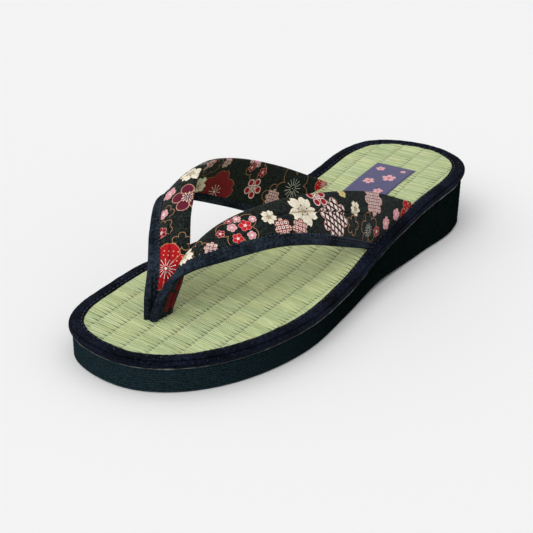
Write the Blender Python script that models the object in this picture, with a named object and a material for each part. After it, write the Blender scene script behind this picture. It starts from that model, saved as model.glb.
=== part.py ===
"""A woven-rush zori sandal: wedge outsole, footbed, bound edge, V-shaped cloth strap with piping."""
import math

import bmesh
import bpy
from mathutils import Vector

# Frame: toe at -Y, heel at +Y, the photographed (outer, near) side at +X, ground at Z = 0.

# Main sizes, in metres.
LENGTH = 0.245
BALL_WIDTH = 0.0886
HEEL_HEIGHT = 0.0293
SIDE_INSET_TOP = 0.0014
SIDE_INSET_BOTTOM = 0.0019
SOLE_EDGE_RADIUS = 0.0010
ARCH_LIFT = 0.0018
ARCH_START = 0.42
ARCH_END = 0.74
RIB_COUNT = 8
RIB_DEPTH = 0.00045
PLAIN_TOP_SHARE = 0.10
PLAIN_FOOT_SHARE = 0.08
GAP = 0.0003

BINDING_WIDTH = 0.0066
BINDING_HEIGHT = 0.0042
BINDING_CORNER = 2.8
FOOTBED_DROP = 0.0006
FOOTBED_THICKNESS = 0.0034
FOOTBED_ROUND = 0.0005

STRAP_THICKNESS = 0.0027
STRAP_PEAK = 0.0600
STRAP_CROWN = 0.0011
STRAP_SINK = 0.0029
STRAP_EDGE_THINNING = 0.45
PIPING_WIDTH = 0.0052
PIPING_THICKNESS = 0.0032
PIPING_SQUARENESS = 2.5

POST_SLOT_WIDTH = 0.0082
POST_SLOT_LENGTH = 0.0146
SLIT_WIDTH = PIPING_THICKNESS + 2 * GAP
SLIT_END_MARGIN = 0.0030
CUTTER_HEIGHT = 0.03

LABEL_WIDTH = 0.0200
LABEL_LENGTH = 0.0420
LABEL_THICKNESS = 0.0005
LABEL_CENTRE_X = 0.0237 * BALL_WIDTH
LABEL_CENTRE_Y = 0.2759 * LENGTH
LABEL_TURN = math.radians(2.8)

# Share of the strap's run on either side of a place that sets its direction there.
DIRECTION_REACH = 0.012

# Mesh steps.
OUTLINE_STEPS = 44
BINDING_STEPS = 12
STRAP_STEPS = 42
STRAP_ACROSS = 6
PIPING_STEPS = 10
LABEL_STEPS = 8

# Columns: share of the length from the toe, near-side and far-side fullness.
# Half width = ball width x fullness x ellipse share at that place.
OUTLINE_TABLE = (
    (0.000, 0.690, 0.900),
    (0.0265, 0.685, 0.875),
    (0.0837, 0.663, 0.746),
    (0.1735, 0.623, 0.611),
    (0.296, 0.562, 0.533),
    (0.451, 0.459, 0.440),
    (0.614, 0.408, 0.400),
    (0.769, 0.439, 0.414),
    (0.892, 0.567, 0.581),
    (0.965, 0.685, 0.759),
    (1.000, 0.730, 0.840),
)

# Columns: share of the length from the toe, height of the top edge as a share of HEEL_HEIGHT.
TOP_TABLE = (
    (0.00, 0.515),
    (0.255, 0.529),
    (0.459, 0.529),
    (0.560, 0.650),
    (0.663, 0.778),
    (0.827, 0.945),
    (1.00, 1.000),
)

# Strap edges. Columns: share of the run from the toe post to the slit, then x as a share of
# half the ball width, y as a share of the length from the middle, z as a share of STRAP_PEAK,
# first for the piped front edge and then for the rear edge.
NEAR_STRAP = (
    (0.06, -0.096, -0.3735, 0.283, -0.092, -0.3215, 0.262),
    (0.14, -0.070, -0.3590, 0.420, -0.074, -0.3010, 0.425),
    (0.24, 0.050, -0.3285, 0.556, -0.072, -0.2780, 0.615),
    (0.36, 0.332, -0.2730, 0.637, 0.060, -0.2290, 0.785),
    (0.50, 0.555, -0.2000, 0.667, 0.262, -0.1350, 0.857),
    (0.65, 0.665, -0.1220, 0.600, 0.415, -0.0250, 0.812),
    (0.81, 0.680, -0.0310, 0.462, 0.515, 0.1050, 0.675),
    (0.95, 0.632, 0.0610, 0.312, 0.560, 0.2350, 0.440),
)
FAR_STRAP = (
    (0.06, -0.190, -0.3735, 0.283, -0.134, -0.3215, 0.262),
    (0.14, -0.228, -0.3625, 0.415, -0.112, -0.3010, 0.425),
    (0.24, -0.345, -0.3280, 0.526, -0.084, -0.2780, 0.615),
    (0.36, -0.560, -0.2720, 0.655, -0.253, -0.2300, 0.838),
    (0.50, -0.775, -0.2020, 0.742, -0.485, -0.1410, 0.988),
    (0.65, -0.850, -0.1230, 0.668, -0.588, -0.0290, 0.900),
    (0.81, -0.770, -0.0260, 0.505, -0.535, 0.1030, 0.693),
    (0.95, -0.600, 0.0690, 0.325, -0.395, 0.2310, 0.428),
)
SIDES = {"near": (NEAR_STRAP, 1.0), "far": (FAR_STRAP, -1.0)}


def clear_scene():
    for item in list(bpy.data.objects):
        bpy.data.objects.remove(item, do_unlink=True)


def clamp(value, low=0.0, high=1.0):
    return max(low, min(high, value))


def smooth_column(table, column, place):
    """Cubic interpolation of one column of a table against its first column."""
    last = len(table) - 1
    place = clamp(place, table[0][0], table[last][0])
    index = 0
    while index < last - 1 and place > table[index + 1][0]:
        index += 1

    def slope(row):
        low = max(row - 1, 0)
        high = min(row + 1, last)
        return (table[high][column] - table[low][column]) / (table[high][0] - table[low][0])

    start = table[index]
    end = table[index + 1]
    span = end[0] - start[0]
    t = (place - start[0]) / span
    h00 = 2 * t ** 3 - 3 * t ** 2 + 1
    h10 = t ** 3 - 2 * t ** 2 + t
    h01 = -2 * t ** 3 + 3 * t ** 2
    h11 = t ** 3 - t ** 2
    curve = h00 * start[column] + h01 * end[column]
    return curve + span * (h10 * slope(index) + h11 * slope(index + 1))


def length_share(y):
    return clamp(y / LENGTH + 0.5)


def half_width(share, column):
    ellipse = 2 * math.sqrt(max(share * (1 - share), 0.0))
    return BALL_WIDTH * ellipse * smooth_column(OUTLINE_TABLE, column, share)


def top_height(y):
    return HEEL_HEIGHT * smooth_column(TOP_TABLE, 1, length_share(y))


def footbed_top(y):
    return top_height(y) - FOOTBED_DROP


def ground_height(y):
    """Zero under heel and forefoot, raised a little under the arch."""
    share = (length_share(y) - ARCH_START) / (ARCH_END - ARCH_START)
    if share <= 0.0 or share >= 1.0:
        return 0.0
    return ARCH_LIFT * math.sin(math.pi * share) ** 2


def outline(inset):
    """Plan outline of the sandal moved inward: toe tip, near side, heel tip, far side."""
    near = []
    far = []
    for step in range(1, OUTLINE_STEPS):
        share = 0.5 - 0.5 * math.cos(math.pi * step / OUTLINE_STEPS)
        y = (share - 0.5) * LENGTH
        near.append(Vector((half_width(share, 1), y, 0.0)))
        far.append(Vector((-half_width(share, 2), y, 0.0)))
    toe = Vector((0.5 * (near[0].x + far[0].x), -LENGTH / 2, 0.0))
    heel = Vector((0.5 * (near[-1].x + far[-1].x), LENGTH / 2, 0.0))
    loop = [toe] + near + [heel] + far[::-1]
    count = len(loop)
    moved = []
    for index, point in enumerate(loop):
        along = (loop[(index + 1) % count] - loop[index - 1]).normalized()
        inward = Vector((-along.y, along.x, 0.0))
        moved.append(point + inward * inset)
    return moved


def material(name, colour, roughness):
    item = bpy.data.materials.new(name)
    item.use_nodes = True
    shader = item.node_tree.nodes["Principled BSDF"]
    shader.inputs["Base Color"].default_value = (*colour, 1.0)
    shader.inputs["Roughness"].default_value = roughness
    shader.inputs["Metallic"].default_value = 0.0
    return item


def link(item, collection_name):
    collection = bpy.data.collections.get(collection_name)
    if collection is None:
        collection = bpy.data.collections.new(collection_name)
        bpy.context.scene.collection.children.link(collection)
    collection.objects.link(item)


def mesh_object(name, points, faces, collection="zori_sandal"):
    mesh = bpy.data.meshes.new(name)
    mesh.from_pydata([tuple(p) for p in points], [], faces)
    mesh.update()
    work = bmesh.new()
    work.from_mesh(mesh)
    bmesh.ops.recalc_face_normals(work, faces=work.faces[:])
    work.to_mesh(mesh)
    work.free()
    item = bpy.data.objects.new(name, mesh)
    link(item, collection)
    return item


def bridge(first, second, count):
    """Quads between two closed rings of the same point count."""
    faces = []
    for index in range(count):
        after = (index + 1) % count
        faces.append((first + index, first + after, second + after, second + index))
    return faces


def cross_cap(start, steps):
    """Strips across a closed outline ring, pairing the near side with the far side."""
    count = 2 * steps
    faces = [(start, start + 1, start + count - 1)]
    for index in range(1, steps - 1):
        low = start + count - index
        faces.append((start + index, start + index + 1, low - 1, low))
    faces.append((start + steps - 1, start + steps, start + steps + 1))
    return faces


def solid_from_levels(name, levels):
    """Closed solid through outline rings given from the bottom up."""
    points = []
    faces = []
    count = 2 * OUTLINE_STEPS
    for level in levels:
        points.extend(level)
    for row in range(len(levels) - 1):
        faces.extend(bridge(row * count, (row + 1) * count, count))
    faces.extend(cross_cap(0, OUTLINE_STEPS))
    faces.extend(cross_cap((len(levels) - 1) * count, OUTLINE_STEPS))
    return mesh_object(name, points, faces)


def sole_level(inset, share):
    """Ring of the outsole wall at a share of the local wall height."""
    ring = outline(inset)
    for point in ring:
        low = ground_height(point.y)
        high = top_height(point.y) - BINDING_HEIGHT - GAP
        point.z = low + (high - low) * share
    return ring


def build_outsole():
    """Wedge outsole with rounded ribs running all round its wall."""
    def wall_inset(share):
        return SIDE_INSET_BOTTOM + (SIDE_INSET_TOP - SIDE_INSET_BOTTOM) * share

    levels = [sole_level(SIDE_INSET_BOTTOM + SOLE_EDGE_RADIUS, 0.0)]
    ribbed = 1.0 - PLAIN_TOP_SHARE - PLAIN_FOOT_SHARE
    for rib in range(RIB_COUNT):
        crest = PLAIN_FOOT_SHARE + ribbed * rib / RIB_COUNT
        groove = crest + 0.62 * ribbed / RIB_COUNT
        levels.append(sole_level(wall_inset(crest), crest))
        levels.append(sole_level(wall_inset(groove) + RIB_DEPTH, groove))
    last = 1.0 - PLAIN_TOP_SHARE
    levels.append(sole_level(wall_inset(last), last))
    levels.append(sole_level(wall_inset(1.0), 1.0))
    return solid_from_levels("outsole", levels)


def build_binding():
    """Rounded cloth edge that runs round the footbed and overhangs the outsole."""
    points = []
    faces = []
    count = 2 * OUTLINE_STEPS
    for step in range(BINDING_STEPS):
        angle = 2 * math.pi * step / BINDING_STEPS
        power = 2.0 / BINDING_CORNER
        across = math.copysign(abs(math.cos(angle)) ** power, math.cos(angle))
        up = math.copysign(abs(math.sin(angle)) ** power, math.sin(angle))
        ring = outline(BINDING_WIDTH * 0.5 * (1 - across))
        for point in ring:
            point.z = top_height(point.y) - BINDING_HEIGHT * 0.5 * (1 - up)
        points.extend(ring)
    for step in range(BINDING_STEPS):
        after = (step + 1) % BINDING_STEPS
        faces.extend(bridge(step * count, after * count, count))
    return mesh_object("binding", points, faces)


def edge_point(table, column, place):
    """Point on one edge of a strap; the ends sink straight down into the footbed."""
    first = table[0][0]
    last = table[-1][0]
    inside = clamp(place, first, last)
    x = smooth_column(table, column, inside) * BALL_WIDTH / 2
    y = smooth_column(table, column + 1, inside) * LENGTH
    z = smooth_column(table, column + 2, inside) * STRAP_PEAK
    floor = footbed_top(y) - STRAP_SINK
    if place < first:
        z += (floor - z) * (first - place) / first
    if place > last:
        z += (floor - z) * (place - last) / (1.0 - last)
    return Vector((x, y, z))


def strap_place(step):
    return step / STRAP_STEPS


def strap_frame(table, place):
    """Front edge point, direction across to the rear edge, width and both edges' directions."""
    front = edge_point(table, 1, place)
    rear = edge_point(table, 4, place)
    before = clamp(place - DIRECTION_REACH)
    after = clamp(place + DIRECTION_REACH)
    across = rear - front
    width = across.length
    across.normalize()
    along_front = edge_point(table, 1, after) - edge_point(table, 1, before)
    along_rear = edge_point(table, 4, after) - edge_point(table, 4, before)
    return front, across, width, along_front.normalized(), along_rear.normalized()


def outward(across, along, side):
    return along.cross(across).normalized() * side


def build_band(side_name):
    """One half of the strap: a padded cloth band from the toe post to its slit."""
    table, side = SIDES[side_name]
    points = []
    faces = []
    per_ring = 2 * (STRAP_ACROSS + 1)
    for step in range(STRAP_STEPS + 1):
        place = strap_place(step)
        front, across, width, along_front, along_rear = strap_frame(table, place)
        start = PIPING_WIDTH + GAP
        bulge = STRAP_CROWN * math.sin(math.pi * place) ** 2
        outer = []
        inner = []
        for column in range(STRAP_ACROSS + 1):
            share = column / STRAP_ACROSS
            along = along_front.lerp(along_rear, share).normalized()
            normal = outward(across, along, side)
            centre = front + across * (start + (width - start) * share)
            centre += normal * bulge * 4 * share * (1 - share)
            thin = 1 - STRAP_EDGE_THINNING * abs(2 * share - 1) ** 5
            half = 0.5 * STRAP_THICKNESS * thin
            outer.append(centre + normal * half)
            inner.append(centre - normal * half)
        points.extend(outer + inner[::-1])
    for step in range(STRAP_STEPS):
        faces.extend(bridge(step * per_ring, (step + 1) * per_ring, per_ring))
    for start_index in (0, STRAP_STEPS * per_ring):
        for column in range(STRAP_ACROSS):
            back = start_index + per_ring - 1 - column
            faces.append((start_index + column, start_index + column + 1, back - 1, back))
    return mesh_object("strap_band_" + side_name, points, faces)


def build_piping(side_name):
    """Flattened cord sewn along the front edge of one half of the strap."""
    table, side = SIDES[side_name]
    points = []
    faces = []
    for step in range(STRAP_STEPS + 1):
        place = strap_place(step)
        front, across, width, along, _ = strap_frame(table, place)
        normal = outward(across, along, side)
        centre = front + across * PIPING_WIDTH / 2
        for turn in range(PIPING_STEPS):
            angle = 2 * math.pi * turn / PIPING_STEPS
            power = 2.0 / PIPING_SQUARENESS
            wide = math.copysign(abs(math.cos(angle)) ** power, math.cos(angle))
            high = math.copysign(abs(math.sin(angle)) ** power, math.sin(angle))
            offset = across * wide * PIPING_WIDTH / 2 + normal * high * PIPING_THICKNESS / 2
            points.append(centre + offset)
    for step in range(STRAP_STEPS):
        faces.extend(bridge(step * PIPING_STEPS, (step + 1) * PIPING_STEPS, PIPING_STEPS))
    faces.append(tuple(range(PIPING_STEPS)))
    end = STRAP_STEPS * PIPING_STEPS
    faces.append(tuple(range(end, end + PIPING_STEPS)))
    return mesh_object("piping_" + side_name, points, faces)


def apply_boolean(target, other, operation):
    modifier = target.modifiers.new("cut", "BOOLEAN")
    modifier.operation = operation
    modifier.solver = "EXACT"
    modifier.object = other
    graph = bpy.context.evaluated_depsgraph_get()
    result = bpy.data.meshes.new_from_object(target.evaluated_get(graph))
    target.modifiers.clear()
    target.data = result


def build_strap():
    """The upper: both bands joined along the rear of the toe post."""
    near = build_band("near")
    far = build_band("far")
    apply_boolean(near, far, "UNION")
    bpy.data.objects.remove(far, do_unlink=True)
    near.name = "strap"
    near.data.name = "strap"
    return near


def block(name, centre, size, turn):
    """Upright box used as a cutter."""
    half = size * 0.5
    corners = []
    for z in (-half.z, half.z):
        for x, y in ((-half.x, -half.y), (half.x, -half.y), (half.x, half.y), (-half.x, half.y)):
            corner = Vector((x * math.cos(turn) - y * math.sin(turn),
                             x * math.sin(turn) + y * math.cos(turn), z))
            corners.append(centre + corner)
    faces = [(0, 3, 2, 1), (4, 5, 6, 7)]
    for index in range(4):
        after = (index + 1) % 4
        faces.append((index, after, after + 4, index + 4))
    item = mesh_object(name, corners, faces, "cutters")
    item.hide_render = True
    item.display_type = "WIRE"
    return item


def slit_cutter(side_name):
    """Cutter along the line where one end of the strap enters the footbed."""
    table, side = SIDES[side_name]
    front = edge_point(table, 1, 1.0)
    rear = edge_point(table, 4, 1.0)
    along = rear - front
    along.z = 0.0
    size = Vector((SLIT_WIDTH, along.length + SLIT_END_MARGIN, CUTTER_HEIGHT))
    turn = math.atan2(along.y, along.x) - math.pi / 2
    centre = (front + rear) / 2
    return block("slit_" + side_name, centre, size, turn)


def post_cutter():
    """Cutter where both bands enter the footbed side by side at the toe post."""
    front = edge_point(NEAR_STRAP, 1, 0.0).lerp(edge_point(FAR_STRAP, 1, 0.0), 0.5)
    rear = edge_point(NEAR_STRAP, 4, 0.0).lerp(edge_point(FAR_STRAP, 4, 0.0), 0.5)
    along = rear - front
    size = Vector((POST_SLOT_WIDTH, POST_SLOT_LENGTH, CUTTER_HEIGHT))
    turn = math.atan2(along.y, along.x) - math.pi / 2
    return block("post_slot", (front + rear) / 2, size, turn)


def build_footbed():
    """Board covered with woven rush, with openings for the toe post and the strap ends."""
    inset = BINDING_WIDTH + GAP
    levels = []
    shape = (
        (0.0, FOOTBED_THICKNESS),
        (0.0, FOOTBED_ROUND),
        (FOOTBED_ROUND, 0.0),
    )
    for extra, drop in shape:
        ring = outline(inset + extra)
        for point in ring:
            point.z = footbed_top(point.y) - drop
        levels.append(ring)
    footbed = solid_from_levels("footbed", levels)
    for cutter in (post_cutter(), slit_cutter("near"), slit_cutter("far")):
        apply_boolean(footbed, cutter, "DIFFERENCE")
    return footbed


def build_label():
    """Thin woven label lying on the rush near the heel."""
    points = []
    faces = []
    for step in range(LABEL_STEPS + 1):
        along = (step / LABEL_STEPS - 0.5) * LABEL_LENGTH
        for across, lift in ((-0.5, 0.0), (0.5, 0.0), (0.5, 1.0), (-0.5, 1.0)):
            wide = across * LABEL_WIDTH
            x = LABEL_CENTRE_X + wide * math.cos(LABEL_TURN) - along * math.sin(LABEL_TURN)
            y = LABEL_CENTRE_Y + wide * math.sin(LABEL_TURN) + along * math.cos(LABEL_TURN)
            z = footbed_top(y) + GAP + lift * LABEL_THICKNESS
            points.append(Vector((x, y, z)))
    for step in range(LABEL_STEPS):
        faces.extend(bridge(step * 4, (step + 1) * 4, 4))
    end = LABEL_STEPS * 4
    faces.append((3, 2, 1, 0))
    faces.append((end, end + 1, end + 2, end + 3))
    return mesh_object("label", points, faces)


def centre_on_origin(items):
    """Move every piece by the same amount across, so the plan box is centred on the origin."""
    low = min(vertex.co.x for item in items for vertex in item.data.vertices)
    high = max(vertex.co.x for item in items for vertex in item.data.vertices)
    for item in items:
        for vertex in item.data.vertices:
            vertex.co.x -= (low + high) / 2


def main():
    clear_scene()
    looks = {
        "outsole": material("black_green_foam", (0.012, 0.018, 0.017), 0.62),
        "binding": material("navy_cloth_tape", (0.013, 0.016, 0.026), 0.72),
        "footbed": material("woven_rush", (0.46, 0.51, 0.26), 0.70),
        "strap": material("floral_cloth", (0.020, 0.024, 0.020), 0.75),
        "piping": material("navy_piping", (0.012, 0.016, 0.026), 0.66),
        "label": material("violet_label", (0.090, 0.075, 0.230), 0.70),
    }
    built = [
        (build_outsole(), "outsole"),
        (build_binding(), "binding"),
        (build_footbed(), "footbed"),
        (build_strap(), "strap"),
        (build_piping("near"), "piping"),
        (build_piping("far"), "piping"),
        (build_label(), "label"),
    ]
    for item, look in built:
        item.data.materials.clear()
        item.data.materials.append(looks[look])
    centre_on_origin([item for item, look in built])


main()
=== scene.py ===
"""Looks for a woven-rush zori sandal: rush mat, bound edge, ribbed foam sole, flowered cloth strap."""
import math
import random

import bmesh
import bpy
import numpy as np
from mathutils import Matrix, Vector, noise


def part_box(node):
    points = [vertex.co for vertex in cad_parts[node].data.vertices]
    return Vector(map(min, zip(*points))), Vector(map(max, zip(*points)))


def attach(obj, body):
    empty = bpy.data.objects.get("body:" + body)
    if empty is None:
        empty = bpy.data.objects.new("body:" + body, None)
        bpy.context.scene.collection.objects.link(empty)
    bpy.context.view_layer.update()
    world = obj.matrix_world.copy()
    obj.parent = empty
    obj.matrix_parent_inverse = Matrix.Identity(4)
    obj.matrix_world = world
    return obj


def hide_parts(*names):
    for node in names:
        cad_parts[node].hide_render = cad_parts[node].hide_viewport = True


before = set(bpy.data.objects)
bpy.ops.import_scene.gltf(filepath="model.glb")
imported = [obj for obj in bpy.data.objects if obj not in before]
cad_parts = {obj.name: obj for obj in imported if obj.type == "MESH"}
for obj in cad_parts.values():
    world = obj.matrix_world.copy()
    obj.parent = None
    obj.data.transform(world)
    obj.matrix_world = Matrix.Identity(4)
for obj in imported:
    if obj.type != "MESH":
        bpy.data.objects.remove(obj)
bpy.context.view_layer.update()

# Sizes shared with the CAD source, in metres. Toe at -Y, heel at +Y, ground at Z = 0.
LENGTH = 0.245
BALL_WIDTH = 0.0886
HEEL_HEIGHT = 0.0293
SIDE_INSET_TOP = 0.0014
SIDE_INSET_BOTTOM = 0.0019
ARCH_LIFT = 0.0018
ARCH_START = 0.42
ARCH_END = 0.74
BINDING_WIDTH = 0.0066
BINDING_HEIGHT = 0.0042
BINDING_CORNER = 2.8
BINDING_SEAM = 0.55
FOOTBED_DROP = 0.0006
FOOTBED_THICKNESS = 0.0034
STRAP_THICKNESS = 0.0027
STRAP_PEAK = 0.0600
STRAP_CROWN = 0.0011
STRAP_SINK = 0.0029
PIPING_WIDTH = 0.0052
LABEL_WIDTH = 0.0200
LABEL_LENGTH = 0.0420
LABEL_CENTRE_X = 0.0237 * BALL_WIDTH
LABEL_CENTRE_Y = 0.2759 * LENGTH
LABEL_TURN = math.radians(2.8)
DIRECTION_REACH = 0.012

# Surface forms, in metres. The angle and spread of the tape's fold are in radians.
CLOTH_START = PIPING_WIDTH + 0.0003
CLOTH_TUCK = PIPING_WIDTH - 0.0010
REAR_ROUND = 0.00078
CREASE_DEPTH = 0.00190
CREASE_SPREAD = 0.00042
POST_FOLD_DEPTH = 0.00085
POST_FOLD_SPREAD = 0.00075
SEAM_DIP = 0.00035
SEAM_DIP_SPREAD = 0.0008
PIPING_RADIUS = 0.00165
TAPE_GROOVE_DEPTH = 0.00055
TAPE_FOLD_DEPTH = 0.00095
TAPE_FOLD_ANGLE = 0.62
TAPE_FOLD_SPREAD = 0.11
SOLE_RIBS = 9
SOLE_RIB_DEPTH = 0.00060
MAT_TUCK = 0.0010
MAT_PILLOW = 0.00013
MAT_DROP = 0.00012
TREAD_DEPTH = 0.0007
TREAD_PITCH = 0.0036
TREAD_ZIGZAG = 0.0060
TREAD_EDGE = 0.0030

# Columns: share of the length from the toe, near-side and far-side fullness.
OUTLINE_TABLE = (
    (0.000, 0.690, 0.900),
    (0.0265, 0.685, 0.875),
    (0.0837, 0.663, 0.746),
    (0.1735, 0.623, 0.611),
    (0.296, 0.562, 0.533),
    (0.451, 0.459, 0.440),
    (0.614, 0.408, 0.400),
    (0.769, 0.439, 0.414),
    (0.892, 0.567, 0.581),
    (0.965, 0.685, 0.759),
    (1.000, 0.730, 0.840),
)

# Columns: share of the length from the toe, height of the top edge as a share of HEEL_HEIGHT.
TOP_TABLE = (
    (0.00, 0.515),
    (0.255, 0.529),
    (0.459, 0.529),
    (0.560, 0.650),
    (0.663, 0.778),
    (0.827, 0.945),
    (1.00, 1.000),
)

# Strap edges: share of the run from the toe post, then x, y and z shares of the piped front edge
# and of the rear edge.
NEAR_STRAP = (
    (0.06, -0.106, -0.3735, 0.283, -0.092, -0.3215, 0.262),
    (0.14, -0.070, -0.3590, 0.420, -0.074, -0.3010, 0.425),
    (0.24, 0.050, -0.3285, 0.556, -0.072, -0.2780, 0.615),
    (0.36, 0.332, -0.2730, 0.637, 0.060, -0.2290, 0.785),
    (0.50, 0.555, -0.2000, 0.667, 0.262, -0.1350, 0.857),
    (0.65, 0.665, -0.1220, 0.600, 0.415, -0.0250, 0.812),
    (0.81, 0.694, -0.0310, 0.462, 0.532, 0.1050, 0.675),
    (0.95, 0.662, 0.0610, 0.312, 0.600, 0.2350, 0.440),
)
FAR_STRAP = (
    (0.06, -0.180, -0.3735, 0.283, -0.134, -0.3215, 0.262),
    (0.14, -0.228, -0.3625, 0.415, -0.112, -0.3010, 0.425),
    (0.24, -0.345, -0.3280, 0.526, -0.084, -0.2780, 0.615),
    (0.36, -0.560, -0.2720, 0.655, -0.253, -0.2300, 0.838),
    (0.50, -0.775, -0.2020, 0.742, -0.485, -0.1410, 0.988),
    (0.65, -0.850, -0.1230, 0.668, -0.588, -0.0290, 0.900),
    (0.81, -0.770, -0.0260, 0.505, -0.535, 0.1030, 0.693),
    (0.95, -0.600, 0.0690, 0.325, -0.395, 0.2310, 0.428),
)
SIDES = {"near": (NEAR_STRAP, 1.0), "far": (FAR_STRAP, -1.0)}

# Mat: the warp cords run lengthwise, the rush stalks across, at a slight slant that differs along it.
WARP_SPACING = 0.01071
WARP_START = -0.02958
WARP_LEAN = -0.09
STALK_PITCH = 0.00118
STALK_SLANT_TOE = -0.20
STALK_SLANT_HEEL = 0.04

# Camera of the photograph, solved from the outline, the mat's warp lines and the label.
CAMERA_AZIMUTH = 33.88
CAMERA_ELEVATION = 24.09
CAMERA_DISTANCE = 0.7168
CAMERA_ROLL = 1.48
CAMERA_LENS = 117.43
CAMERA_TARGET = (0.01272, -0.03825, 0.025)

# Light: a white surround, brighter at the photograph's upper left, and a broad lamp from the toe side.
WORLD_DARK = 0.30
WORLD_BRIGHT = 0.95
WORLD_FROM = (-0.35, -0.40, 1.00)
KEY_STRENGTH = 1.16
KEY_SPREAD = 44.0
KEY_FROM = (0.20, -1.00, 1.00)


def clamp(value, low=0.0, high=1.0):
    return max(low, min(high, value))


def rough(x, y, z):
    """Smooth noise between -1 and 1."""
    return noise.noise(Vector((x, y, z)))


def hill(offset, spread):
    """Bell curve, 1 where the offset is 0."""
    return math.exp(-(offset / spread) ** 2)


def smooth_column(table, column, place):
    """Cubic interpolation of one column of a table against its first column."""
    last = len(table) - 1
    place = clamp(place, table[0][0], table[last][0])
    index = 0
    while index < last - 1 and place > table[index + 1][0]:
        index += 1

    def slope(row):
        low = max(row - 1, 0)
        high = min(row + 1, last)
        return (table[high][column] - table[low][column]) / (table[high][0] - table[low][0])

    start = table[index]
    end = table[index + 1]
    span = end[0] - start[0]
    t = (place - start[0]) / span
    h00 = 2 * t ** 3 - 3 * t ** 2 + 1
    h10 = t ** 3 - 2 * t ** 2 + t
    h01 = -2 * t ** 3 + 3 * t ** 2
    h11 = t ** 3 - t ** 2
    curve = h00 * start[column] + h01 * end[column]
    return curve + span * (h10 * slope(index) + h11 * slope(index + 1))


def length_share(y):
    return clamp(y / LENGTH + 0.5)


def half_width(share, column):
    ellipse = 2 * math.sqrt(max(share * (1 - share), 0.0))
    return BALL_WIDTH * ellipse * smooth_column(OUTLINE_TABLE, column, share)


def top_height(y):
    return HEEL_HEIGHT * smooth_column(TOP_TABLE, 1, length_share(y))


def footbed_top(y):
    return top_height(y) - FOOTBED_DROP


def ground_height(y):
    share = (length_share(y) - ARCH_START) / (ARCH_END - ARCH_START)
    if share <= 0.0 or share >= 1.0:
        return 0.0
    return ARCH_LIFT * math.sin(math.pi * share) ** 2


def outline(inset, steps):
    """Plan outline of the sandal moved inward: toe tip, near side, heel tip, far side."""
    near = []
    far = []
    for step in range(1, steps):
        share = 0.5 - 0.5 * math.cos(math.pi * step / steps)
        y = (share - 0.5) * LENGTH
        near.append(Vector((half_width(share, 1), y, 0.0)))
        far.append(Vector((-half_width(share, 2), y, 0.0)))
    toe = Vector((0.5 * (near[0].x + far[0].x), -LENGTH / 2, 0.0))
    heel = Vector((0.5 * (near[-1].x + far[-1].x), LENGTH / 2, 0.0))
    loop = [toe] + near + [heel] + far[::-1]
    count = len(loop)
    moved = []
    for index, point in enumerate(loop):
        along = (loop[(index + 1) % count] - loop[index - 1]).normalized()
        inward = Vector((-along.y, along.x, 0.0))
        moved.append(point + inward * inset)
    return moved


def outline_sides(inset, steps):
    """Arrays of y and x along the near side and along the far side, toe to heel."""
    ring = outline(inset, steps)
    sides = []
    for side in (ring[0:steps + 1], [ring[0]] + ring[:steps - 1:-1]):
        sides.append((np.array([point.y for point in side]), np.array([point.x for point in side])))
    return sides


def centre_shift():
    """Distance that the CAD source moved every piece sideways to centre the plan."""
    low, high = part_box("binding")
    ring = outline(0.0, 44)
    own = (min(point.x for point in ring) + max(point.x for point in ring)) / 2
    return (low.x + high.x) / 2 - own


SHIFT = centre_shift()


def colour(code):
    """sRGB hex code to linear RGBA."""
    parts = []
    for start in (0, 2, 4):
        value = int(code[start:start + 2], 16) / 255
        parts.append(value / 12.92 if value <= 0.04045 else ((value + 0.055) / 1.055) ** 2.4)
    return (*parts, 1.0)


def feed(tree, item, inputs):
    """Sets a node's inputs, by name or number, to a value or to the socket that feeds it."""
    for name, value in inputs.items():
        socket = item.inputs[name]
        if isinstance(value, bpy.types.NodeSocket):
            tree.links.new(value, socket)
        else:
            socket.default_value = value


def add(tree, kind, inputs=None, stops=(), **settings):
    """Adds a node with its settings, its inputs and, for a colour ramp, its stops of place and colour."""
    item = tree.nodes.new(kind)
    for name, value in settings.items():
        setattr(item, name, value)
    for index, (place, shade) in enumerate(stops):
        item.color_ramp.elements[index].position = place
        item.color_ramp.elements[index].color = shade
    feed(tree, item, inputs or {})
    return item


def wire(tree, kind, known, rows):
    """Adds a chain of nodes of one type. A row is (result, operation, inputs), and an input is a value, a
    socket or the name of an earlier result in known."""
    for name, operation, *inputs in rows:
        values = {}
        for index, value in enumerate(inputs):
            values[index] = known[value] if isinstance(value, str) else value
        known[name] = add(tree, kind, values, operation=operation).outputs[0]
    return known


def distance_rows(name, first, second):
    """Rows for wire that give the length of a flat vector."""
    return ((name + "_first", "MULTIPLY", first, first),
            (name + "_both", "MULTIPLY_ADD", second, second, name + "_first"),
            (name, "SQRT", name + "_both"))


def finish_material(name):
    item = bpy.data.materials.new(name)
    item.use_nodes = True
    tree = item.node_tree
    return item, tree, tree.nodes["Principled BSDF"]


def make_piece(name, points, faces, material, nodes=(), run=None, closed=True):
    """Mesh object in the row frame, moved sideways as the CAD is, riding on the one body. run holds the
    arguments of set_run, and a closed piece gets its faces turned outward."""
    mesh = bpy.data.meshes.new(name)
    mesh.from_pydata([(p[0] + SHIFT, p[1], p[2]) for p in points], [], faces)
    mesh.update()
    mesh.materials.append(material)
    mesh.shade_smooth()
    item = bpy.data.objects.new(name, mesh)
    bpy.context.scene.collection.objects.link(item)
    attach(item, "root")
    if nodes:
        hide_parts(*nodes)
    if closed:
        outward_faces(item)
    if run:
        set_run(mesh, *run)
    return item


def outward_faces(item):
    work = bmesh.new()
    work.from_mesh(item.data)
    bmesh.ops.recalc_face_normals(work, faces=work.faces[:])
    work.to_mesh(item.data)
    work.free()


def bridge(first, second, count):
    faces = []
    for index in range(count):
        after = (index + 1) % count
        faces.append((first + index, first + after, second + after, second + index))
    return faces


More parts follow.
